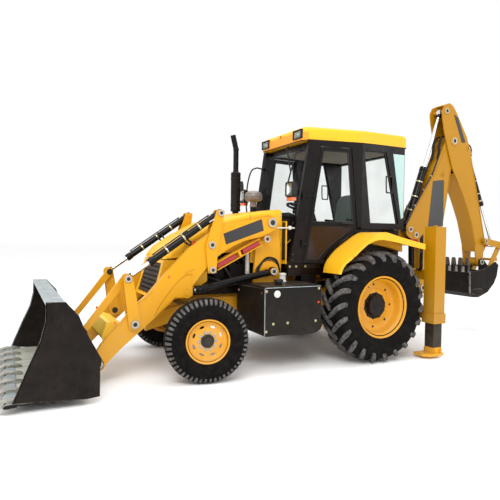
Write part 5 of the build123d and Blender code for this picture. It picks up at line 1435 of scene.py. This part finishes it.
a.loft([[(640, -150, 1690), (640, 150, 1690), (800, 150, 1690), (800, -150, 1690)],
        [(650, -140, 1790), (650, 140, 1790), (780, 130, 1830), (780, -130, 1830)]])
a.loft([[(380, 150, 1642), (530, 150, 1642), (530, 240, 1642), (380, 240, 1642)],
        [(470, 160, 1900), (505, 160, 1900), (505, 230, 1900), (470, 230, 1900)]])
a.done(8, 3)
a = Acc("steering_wheel_rim", plastic, "chassis")
zax = Vector((-40, 0, 140)).normalized()
q = Vector((520, 0, 1901)) 
x_, y_, z_ = frame_of(zax)
a.tube([q + (x_ * cos(2 * pi * k / 36) + y_ * sin(2 * pi * k / 36)) * 184 for k in range(36)], 15, 12, 2, closed=True)
a.lathe([(0.1, 20), (30, 20), (44, 12), (46, 0), (46, -16)], q, zax, 28)
for k in range(3):
    t = 2 * pi * k / 3 + 0.5
    d = x_ * cos(t) + y_ * sin(t)
    a.tube([q + d * 40, q + d * 110 - zax * 6, q + d * 176], 9, 8)
a.done()
a = Acc("levers_front", plastic, "chassis")
for k, (x, y) in enumerate(((360, -420), (300, -470), (240, -420))):
    a.tube([(x, y, 1640), (x - 8, y, 1740), (x + 4, y, 1850)], 8, 10)
    a.lathe([(0.1, 0), (16, 4), (21, 20), (20, 48), (12, 60), (0.1, 62)], (x + 3, y, 1840), (0, 0, 1), 20)
for y in (-160, 160):
    a.lathe([(0.1, -4), (17, 2), (23, 24), (22, 60), (14, 78), (0.1, 82)], (-502, y, 1840), (0.1, 0, 1), 20)
    a.lathe([(34, 0), (30, 10), (20, 30), (15, 52)], (-530, y, 1600), (0.1, 0, 1), 20)
for y in (-90, 90):
    a.loft([[(850, y - 36, 1200), (850, y + 36, 1200), (862, y + 36, 1196), (862, y - 36, 1196)],
            [(930, y - 30, 1300), (930, y + 30, 1300), (940, y + 30, 1292), (940, y - 30, 1292)]])
a.done(1)


def pad(name, path, width, thick, mat):
    """Crowned cushion: path of (x, z) centre points, half widths, half thicknesses."""
    acc = Acc(name, mat, "chassis")
    n = 28
    secs = []
    for i, ((x, z), w, t) in enumerate(zip(path, width, thick)):
        a_, b_ = path[max(i - 1, 0)], path[min(i + 1, len(path) - 1)]
        L = hypot(b_[0] - a_[0], b_[1] - a_[1])
        nx, nz = -(b_[1] - a_[1]) / L, (b_[0] - a_[0]) / L
        ring = []
        for k in range(n):
            c, d = cos(2 * pi * k / n), sin(2 * pi * k / n)
            u = w * (abs(c) ** 0.5) * (1 if c > 0 else -1)
            v = t * (abs(d) ** 0.62) * (1 if d > 0 else -1)
            v *= 1.0 + 0.16 * (abs(u) / max(w, 1)) ** 2
            ring.append((x + nx * v, u, z + nz * v))
        secs.append(ring)
    acc.loft(secs)
    return acc


p_ = pad("seat_back", [(-226, 1640), (-228, 1652), (-234, 1700), (-246, 1800), (-258, 1900), (-270, 1990), (-281, 2060), (-288, 2096), (-290, 2106)],
         [120, 168, 196, 214, 226, 226, 206, 150, 90], [18, 44, 54, 56, 52, 46, 38, 24, 8], seat_m)
o = p_.done(0, subsurf=1)
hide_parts("seat")
p_ = pad("seat_cushion", [(-190, 1560), (-176, 1561), (-120, 1566), (0, 1572), (110, 1570), (178, 1560), (202, 1550), (208, 1546)],
         [150, 196, 222, 228, 228, 218, 190, 140], [20, 48, 56, 58, 56, 50, 34, 12], seat_m)
o = p_.done(0, subsurf=1)
a = Acc("seat_piping", vinyl_m, "chassis")
for s in (1, -1):
    a.tube([(-196, s * 172, 1668), (-192, s * 196, 1720), (-204, s * 214, 1800), (-220, s * 224, 1900), (-236, s * 222, 1990), (-254, s * 196, 2056), (-272, s * 140, 2092)], 5, 8)
    a.tube([(-150, s * 208, 1600), (0, s * 222, 1612), (120, s * 220, 1606), (186, s * 196, 1582)], 5, 8)
a.tube([(-272, 140, 2092), (-276, 0, 2100), (-272, -140, 2092)], 5, 8)
a.tube([(-196, 172, 1668), (-194, 0, 1664), (-196, -172, 1668)], 5, 8)
a.done()
a = Acc("seat_shell", plastic, "chassis")
a.loft([[(-292, -150, 1600), (-292, 150, 1600), (-268, 150, 1600), (-268, -150, 1600)],
        [(-320, -196, 1760), (-320, 196, 1760), (-296, 196, 1760), (-296, -196, 1760)],
        [(-336, -190, 1960), (-336, 190, 1960), (-314, 190, 1960), (-314, -190, 1960)],
        [(-338, -130, 2050), (-338, 130, 2050), (-322, 130, 2050), (-322, -130, 2050)]])
a.prism([(-250, -200), (190, -200), (190, 200), (-250, 200)], "z", 1490, 1512)
a.tube([(-280, 236, 1700), (-240, 250, 1740), (-60, 250, 1752)], 16, 10)
a.tube([(-280, -236, 1700), (-240, -250, 1740), (-60, -250, 1752)], 16, 10)
a.done(4)
a = Acc("seat_bellows", seal_m, "chassis")
prof = []
for k in range(13):
    prof.append((236 if k % 2 else 212, 1483 + k * 2.4))
a.lathe([(0.1, 1484)] + prof + [(0.1, 1512)], (-50, 0, 0), (0, 0, 1), 40)
a.done()
LEG_X, LEG_Y = -820, 1085
# =====================================================================
# loader arms: plain plate, marker spots; bucket ear pins, mudguard bead and bolts
# =====================================================================
for s, nm in SIDES:
    y = s * 560
    a = Acc(f"arm_plate_{nm}", badge_m, "loader_arms")
    a.prism([(1884, 1540), (1400, 1716), (1372, 1582), (1850, 1418)], "y", s * 560.3, s * 563.5)
    a.done(1.2)
    # the marks use the lamp material, so their slight glow is a painted glow: they are no lamp
    a = Acc(f"arm_marks_{nm}", orange_m, "loader_arms")
    for x, z in ((2508, 1072), (3072, 620)):
        a.lathe([(0.1, 6), (13, 6), (15, 4), (15, -1)], (x, y, z), (0, s, 0), 20)
    a.done(1)
    a = Acc(f"bucket_ear_pins_{nm}", pin_m, "loader_bucket")
    a.lathe([(0.1, 8), (20, 8), (23, 5), (23, 0)], (BUCKET_EAR[0], s * 584, BUCKET_EAR[1]), (0, s, 0), 24)
    for dx, dz in ((0, 34), (0, -34)):
        a.bolt((BUCKET_EAR[0] + dx, s * 584, BUCKET_EAR[1] + dz), (0, s, 0), 7, 6)
    a.done(0.6)
    # rolled edge along the mudguard's outer lip
    a = Acc(f"guard_bead_{nm}", paint_hood, "chassis")
    a.tube([(-628, s * 1103, 1378), (-449, s * 1103, 1410), (-204, s * 1103, 1458), (32, s * 1103, 1493), (110, s * 1103, 1493),
            (184, s * 1103, 1479), (285, s * 1103, 1436), (372, s * 1103, 1374), (430, s * 1096, 1324)], 6.5, 10, 4)
    a.done()
    a = Acc(f"guard_bolts_{nm}", zinc_m, "chassis")
    for x, z in ((-520, 1462), (-260, 1514), (-20, 1574)):
        a.bolt((x, s * 740, z), (0, 0, 1), 8, 5)
    a.done()

# =====================================================================
# loader bucket: lip, worn floor, adapters and teeth
# =====================================================================
a = Acc("bucket_top_lip", lip_m, "loader_bucket")
a.prism([(3600, 903), (3757, 905), (3757, 934.5), (3600, 931.5)], "y", -1101, 1101)
a.done(3)
a = Acc("bucket_floor_wear", floor_m, "loader_bucket")
a.prism([(3446, 79), (3980, 87), (3980, 92), (3446, 84)], "y", -1100, 1100)
a.done()
a = Acc("bucket_edge_wear", lip_m, "loader_bucket")
a.prism([(3984, 97), (4070, 97), (4092, 73), (4088, 78), (4068, 99), (3984, 99)], "y", -1120, 1120)
a.done()
a = Acc("bucket_side_edges", lip_m, "loader_bucket")
for s in (1, -1):
    y0, y1 = s * 1102, s * 1121
    for p, q in (((4014, 104), (3907, 368)), ((3907, 368), (3800, 610)), ((3800, 610), (3760, 772)), ((3760, 772), (3756, 930))):
        a.loft([[(p[0], y0, p[1]), (p[0], y1, p[1]), (p[0] - 9, y1, p[1] - 2), (p[0] - 9, y0, p[1] - 2)],
                [(q[0], y0, q[1]), (q[0], y1, q[1]), (q[0] - 9, y1, q[1] - 2), (q[0] - 9, y0, q[1] - 2)]])
a.done(1)
a = Acc("tooth_adapters", adapter_m, "loader_bucket")
b = Acc("tooth_tips", tooth_m, "loader_bucket")
c = Acc("tooth_pins", pin_m, "loader_bucket")
for i in range(8):
    y = -1050 + i * 300
    sec = lambda x, w, z0, z1: [(x, y - w, z0), (x, y + w, z0), (x, y + w, z1), (x, y - w, z1)]
    a.loft([sec(3908, 24, 94, 98), sec(3930, 32, 92, 112), sec(3985, 39, 92, 125), sec(4060, 39.5, 90, 127), sec(4084, 39, 88, 120)])
    a.loft([sec(3990, 30, 46, 62), sec(4060, 39, 46, 64), sec(4084, 39, 47, 90)])
    b.loft([sec(4082, 42, 45, 122), sec(4100, 42, 45, 117), sec(4150, 40, 46, 99), sec(4200, 39, 48, 79), sec(4217, 38.5, 54, 63)])
    for s in (1, -1):
        c.lathe([(0.1, 4), (8, 4), (9, 2), (9, -2)], (4070, y + s * 39, 100), (0, s, 0), 16)
a.done(2.5)
b.done(2.5)
c.done()
a = Acc("bucket_back_ribs", bucket_k, "loader_bucket")
for y in (-800, -250, 250, 800):
    a.loft([[(3590, y - 40, 836), (3590, y + 40, 836), (3604, y + 40, 826), (3604, y - 40, 826)],
            [(3398, y - 40, 428), (3398, y + 40, 428), (3412, y + 40, 422), (3412, y - 40, 422)]])
a.done(3)

# =====================================================================
# rear frame, legs and carriage
# =====================================================================
leg_m = Mat("leg_paint", (DARK[0] * 0.25, DARK[1] * 0.22, DARK[2] * 0.22, 1), 0.4, spec=0.18)
leg_m.vary(3.0, 0.4, srgb(48, 42, 38))
foot = leg_m.between(leg_m.axis(2), 0.137, 0.129)
leg_m.over(srgb(214, 152, 10), foot, 0.36)
leg_m.edges(srgb(120, 104, 84), 0.004, 0.4)
leg_m.dust_and_top_highlight(0.25, low=0.12)
leg_m.grain(180, 0.0002)
leg_m = leg_m.done()
for s, nm in SIDES:
    finish_cad(f"leg_{nm}", leg_m, 3)
    a = Acc(f"leg_foot_{nm}", paint_y, f"leg_{nm}")
    for k in (-1, 1):
        a.prism([(LEG_X + k * 71, 62), (LEG_X + k * 84, 62), (LEG_X + k * 72, 128), (LEG_X + k * 71, 128)], "y", s * LEG_Y - 60, s * LEG_Y + 60)
    a.done(1.5)
    a = Acc(f"leg_collar_bolts_{nm}", zinc_m, "chassis")
    for z in (466, 538):
        for dx in (-78, 78):
            a.bolt((LEG_X + dx, s * (LEG_Y + 92), z), (0, s, 0), 9, 7)
    a.done()
    a = Acc(f"leg_tube_cap_{nm}", paint_rear, "chassis")
    a.prism([(LEG_X - 60, s * (LEG_Y - 60)), (LEG_X + 60, s * (LEG_Y - 60)), (LEG_X + 60, s * (LEG_Y + 60)), (LEG_X - 60, s * (LEG_Y + 60))], "z", 1656, 1663)
    a.lathe([(0.1, 14), (22, 14), (26, 10), (26, 0)], (LEG_X, s * LEG_Y, 1662), (0, 0, 1), 24)
    a.done(2)
    a = Acc(f"leg_welds_{nm}", paint_rear, "chassis")
    for z in (984, 1096, 484, 596):
        a.tube([(-744, s * 996, z), (-744, s * 990, z), (-952, s * 990, z)], 5, 8, smooth=False)
    a.done()
    # hoses beside the leg
    a = Acc(f"leg_hoses_{nm}", hose_m, "chassis")
    for k in range(3):
        o = k * 20
        a.tube([(-728, s * (960 - o), 1560 - o), (-716, s * (975 - o), 1440), (-712, s * (978 - o), 1240), (-722, s * (965 - o), 1120), (-735, s * (900 - o), 1104 + k * 4)], 8.5, 10, 6)
    a.done()
    a = Acc(f"leg_hose_clip_{nm}", zinc_m, "chassis")
    a.box(-728, -704, s * 936 - 30, s * 936 + 42, 1330, 1348)
    a.done(2)
    # tail lamp on the mudguard's end
    a = Acc(f"tail_lamp_{nm}", red_m, "chassis")
    a.prism([(s * 860, 1446), (s * 980, 1446), (s * 980, 1500), (s * 860, 1500)], "x", -640, -612)
    a.done(5)
a = Acc("carriage_clamps", pipe_m, "carriage")
for y in (-176, 176):
    for z in (1052, 528):
        a.lathe([(0.1, 26), (24, 26), (28, 22), (28, 0)], (-1034, y, z), (-1, 0, 0), 24)
a.done(1)

# =====================================================================
# backhoe: pins, plates, rams, hoses, bucket teeth
# =====================================================================
def rings(body, items):
    a = Acc(f"pin_rings_{body}", ring_m, body)
    b = Acc(f"pin_caps_{body}", pin_m, body)
    for p, y, ro, ri in items:
        for s in (1, -1):
            pin_end(a, b, p, y, s, ro, ri)
    a.done(bevel=0.8, segs=1)
    b.done()


BOOM_FOOT = (-1600, 760)
BRB, BRP = (-1500, 960), (-1480, 1560)
DPV, DRB, DTL = (-2217, 3033), (-1361, 1640), (-2033, 3477)
HPV, HRB, HRP, RKP, HLP = (-2860, 1130), (-2640, 2890), (-3312, 1401), (-2918, 1470), (-3058, 994)
rings("kingpost", ((BOOM_FOOT, 152, 52, 30), (BRB, 148, 40, 24)))
rings("boom", ((BRP, 110, 42, 24), (DRB, 112, 42, 24)))
rings("dipper", ((DPV, 136, 54, 30), (DTL, 138, 44, 26), (RKP, 204, 36, 20), (HRB, 72, 36, 20)))
rings("hoe_rocker", ((HRP, 206, 36, 20),))
rings("hoe_bucket", ((HPV, 178, 44, 26), (HLP, 174, 38, 22)))
a = Acc("boom_bosses", paint_rear, "boom")
b = Acc("boom_details", paint_rear, "boom")
for s in (1, -1):
    y = 104 * s
    for p, r in ((BOOM_FOOT, 92), (DPV, 92), (BRP, 66), (DRB, 62), ((-2002, 2501), 34)):
        a.lathe([(r, -2), (r, 5), (r - 4, 8), (r * 0.55, 8)], (p[0], y, p[1]), (0, s, 0), 44)
    # doubler along the knuckle and weld beads along the core
    b.tube([(-1560, y + 2 * s, 860), (-1660, y + 3 * s, 1010), (-1800, y + 3 * s, 1320), (-1960, y + 3 * s, 1640)], 5, 8)
    b.tube([(-1330, y + 2 * s, 1760), (-1480, y + 3 * s, 1980), (-1830, y + 3 * s, 2480), (-2040, y + 3 * s, 2900)], 5, 8)
    b.tube([(-2030, y + 2 * s, 1760), (-2120, y + 3 * s, 2260), (-2196, y + 3 * s, 2720)], 5, 8)
a.done(2)
b.done()
a = Acc("boom_plates", badge_m, "boom")
for s in (1, -1):
    a.prism([(-1801, 2388), (-2035, 2417), (-2038, 1703), (-1719, 1681)], "y", s * 104.4, s * 107.5)
a.done(1.2)
a = Acc("dipper_plates", badge_m, "dipper")
for s in (1, -1):
    a.prism([(-2187, 3440), (-2277, 3405), (-2461, 3030), (-2376, 3022)], "y", s * 130.4, s * 133.5)
a.done(1.2)
a = Acc("dipper_details", paint_rear, "dipper")
for s in (1, -1):
    y = 130 * s
    for p, r in ((DPV, 84), (DTL, 58), ((-2517, 2947), 34), (HPV, 68), (RKP, 54)):
        a.lathe([(r, -2), (r, 5), (r - 4, 7), (r * 0.55, 7)], (p[0], y, p[1]), (0, s, 0), 44)
    a.tube([(-2250, y + 2 * s, 2500), (-2440, y + 3 * s, 2190), (-2640, y + 3 * s, 1780), (-2762, y + 3 * s, 1400)], 5, 8)
    a.tube([(-2590, y + 2 * s, 2800), (-2760, y + 3 * s, 2200), (-2900, y + 3 * s, 1700), (-2955, y + 3 * s, 1500)], 5, 8)
a.done(1.5)
ram_dress("boom_ram", "boom_ram_barrel", "boom_ram_rod", BRB, BRP, 0, 42, 548, 24, 494, pipe=False)
ram_dress("dipper_ram", "dipper_ram_barrel", "dipper_ram_rod", DRB, DTL, 0, 52, 1019, 28, 1010)
ram_dress("hoe_ram", "hoe_bucket_ram_barrel", "hoe_bucket_ram_rod", HRB, HRP, 0, 45, 910, 24, 960)
a = Acc("hoe_ram_bands", ring_m, "hoe_bucket_ram_barrel")
b0, t0 = Vector((HRB[0], 0, HRB[1])), Vector((HRP[0], 0, HRP[1]))
u0 = (t0 - b0).normalized()
for k in (0.2, 0.9):
    q = b0 + u0 * 910 * k
    a.lathe([(45.5, -12), (49, -10), (49, 10), (45.5, 12)], q, u0, 36)
a.done()
# steel pipes and hoses along the boom's upper face and over the knuckle
a = Acc("boom_pipes", pipe_m, "boom")
for k, y in enumerate((-86, -68, 68, 86)):
    a.tube([(-1300, y, 1724), (-1430, y, 1916), (-1452, y, 1962), (-1640, y, 2236), (-1812, y, 2500), (-1930, y, 2740)], 8, 10, 4)
a.done()
a = Acc("boom_pipe_clamps", zinc_m, "boom")
for x, z in ((-1470, 1996), (-1640, 2240), (-1790, 2460)):
    for q in (-77, 77):
        a.lathe([(0.1, 10), (7, 10), (9, 7), (9, 0)], (x + 6, q, z + 2), (0.8, 0, 0.56), 6)
        a.loft([[(x - 10, y, z - 14), (x + 14, y, z - 14 + 34), (x + 22, y, z - 14 + 28), (x, y, z - 22)] for y in (q - 18, q + 18)])
a.done(1)
a = Acc("boom_hoses", hose_m, "boom")
for k, y in enumerate((-70, -44, 44, 70)):
    a.tube([(-1930, y, 2740), (-1960, y * 1.05, 2840), (-1968, y, 2960), (-2010, y * 0.96, 3060), (-2080, y * 0.9, 3110)], 11, 10, 6)
a.done()
a = Acc("dipper_hoses", hose_m, "dipper")
for y in (-34, 34):
    a.tube([(-2560, y, 3030), (-2630, y, 3040), (-2700, y, 2990), (-2720, y, 2900), (-2700, y, 2800)], 10, 10, 6)
a.done()
# slew valve, swing hoses and their clutter behind the cab
a = Acc("swing_hoses", hose_m, "chassis")
for k in range(6):
    y = -60 + k * 34
    a.tube([(-700, y, 1180 + k * 6), (-800, y * 0.9, 1330 + k * 12), (-905, y * 0.8, 1330 + k * 8), (-955, y * 0.7, 1180)], 10.5, 10, 6)
a.done()
a = Acc("valve_block", engine_k, "chassis")
a.box(-760, -650, -220, 220, 1106, 1190)
for k in range(6):
    y = -180 + k * 72
    a.lathe([(0.1, 44), (18, 44), (22, 38), (22, 0)], (-705, y, 1190), (0, 0, 1), 20)
    a.box(-742, -668, y - 26, y + 26, 1186, 1206)
a.done(3)

# digging bucket: worn mouth edge, teeth and side cutters
dark_tooth = Mat("hoe_tooth_steel", srgb(58, 50, 45), 0.45, metal=0.3, spec=0.3)
dark_tooth.vary(20, 0.5, srgb(112, 98, 82))
dark_tooth.edges(srgb(150, 140, 128), 0.004, 0.6)
dark_tooth.grain(160, 0.0003)
dark_tooth = dark_tooth.done()
a = Acc("hoe_teeth_adapters", bucket_k, "hoe_bucket")
b = Acc("hoe_teeth", dark_tooth, "hoe_bucket")
for i in range(5):
    y = -260 + i * 130
    sec = lambda z, x0, x1, w: [(x0, y - w, z), (x1, y - w, z), (x1, y + w, z), (x0, y + w, z)]
    a.loft([sec(968, -2444, -2400, 20), sec(992, -2452, -2394, 32), sec(1074, -2450, -2390, 33), sec(1094, -2446, -2392, 31)])
    b.loft([sec(1090, -2448, -2390, 33), sec(1130, -2440, -2394, 32), sec(1180, -2430, -2399, 30), sec(1208, -2420, -2407, 29)])
a.done(3)
b.done(3)
a = Acc("hoe_mouth_edge", adapter_m, "hoe_bucket")
a.prism([(-2411, 982), (-2405, 982), (-2413, 1069), (-2418, 1073)], "y", -300, 300)
for s in (1, -1):
    y0, y1 = s * 284, s * 302
    for p, q in (((-2427, 996), (-2434, 820)), ((-2434, 820), (-2441, 652))):
        a.loft([[(p[0], y0, p[1]), (p[0], y1, p[1]), (p[0] - 12, y1, p[1]), (p[0] - 12, y0, p[1])],
                [(q[0], y0, q[1]), (q[0], y1, q[1]), (q[0] - 12, y1, q[1]), (q[0] - 12, y0, q[1])]])
a.done(1)
a = Acc("hoe_bucket_wear", bucket_k, "hoe_bucket")
for s in (1, -1):
    a.loft([[(-2446, s * 300, 660), (-2620, s * 300, 600), (-2800, s * 300, 650), (-2700, s * 300, 720), (-2520, s * 300, 720)],
            [(-2456, s * 306, 670), (-2620, s * 306, 612), (-2790, s * 306, 656), (-2696, s * 306, 712), (-2526, s * 306, 712)]])
a.lathe([(20, 0), (34, 0), (34, 5), (20, 5)], (-2470, 301, 940), (0, 1, 0), 24)
a.done(1.5)

# =====================================================================
# floor, light, camera
# =====================================================================
def stage_floor():
    me = bpy.data.meshes.new("floor")
    bm = bmesh.new()
    prof = [(-14, -30), (-14, 30)]
    vs = [bm.verts.new(p) for p in ((-60, -60, -0.002), (60, -60, -0.002), (60, 60, -0.002), (-60, 60, -0.002))]
    bm.faces.new(vs)
    bm.to_mesh(me)
    bm.free()
    o = bpy.data.objects.new("floor", me)
    bpy.context.scene.collection.objects.link(o)
    g = bpy.data.materials.new("floor")
    g.use_nodes = True
    b = g.node_tree.nodes["Principled BSDF"]
    b.inputs["Base Color"].default_value = (0.97, 0.97, 0.97, 1)
    b.inputs["Roughness"].default_value = 0.9
    me.materials.append(g)


stage_floor()
sc = bpy.context.scene
w = bpy.data.worlds.new("studio")
sc.world = w
w.use_nodes = True
nt = w.node_tree
bg = nt.nodes["Background"]
bg.inputs[0].default_value = (1.0, 1.0, 1.0, 1)
bg.inputs[1].default_value = 1.0
sc.view_settings.view_transform = "Standard"
sc.view_settings.look = "None"
sc.view_settings.exposure = 0.0


def area(name, loc, target, size, power, col=(1, 1, 1)):
    l = bpy.data.lights.new(name, "AREA")
    l.shape = "RECTANGLE"
    l.size, l.size_y = size
    l.energy = power
    l.color = col
    o = bpy.data.objects.new(name, l)
    o.location = loc
    o.rotation_mode = "QUATERNION"
    o.rotation_quaternion = (Vector(target) - Vector(loc)).to_track_quat("-Z", "Y")
    sc.collection.objects.link(o)


area("key", (5.5, 8.0, 9.0), (0, 0, 1.2), (7, 5), 800, (1, 0.98, 0.95))
area("fill", (-7, 9, 4), (-1, 0, 1.4), (6, 4), 160)
area("front", (10, 1.5, 4), (2, 0, 1.2), (4, 4), 200)
area("top", (0, 0.5, 11), (0, 0, 1), (10, 6), 420)

cd = bpy.data.cameras.new("camera")
cam = bpy.data.objects.new("camera", cd)
sc.collection.objects.link(cam)
sc.camera = cam
cd.sensor_width = 36.0
cd.lens = 36.0 * 487.6 / 500
cd.clip_start, cd.clip_end = 0.05, 200
yaw, pitch, roll = radians(26.52), radians(1.84), radians(0.7)
fwd = Vector((-sin(yaw) * cos(pitch), -cos(yaw) * cos(pitch), -sin(pitch)))
right = fwd.cross(Vector((0, 0, 1))).normalized()
up = right.cross(fwd).normalized()
r2 = right * cos(roll) + up * sin(roll)
u2 = up * cos(roll) - right * sin(roll)
cam.matrix_world = Matrix((
    (r2.x, u2.x, -fwd.x, 0), (r2.y, u2.y, -fwd.y, 0), (r2.z, u2.z, -fwd.z, 0), (0, 0, 0, 1)))
cam.location = M(4052, 5578, 1536)
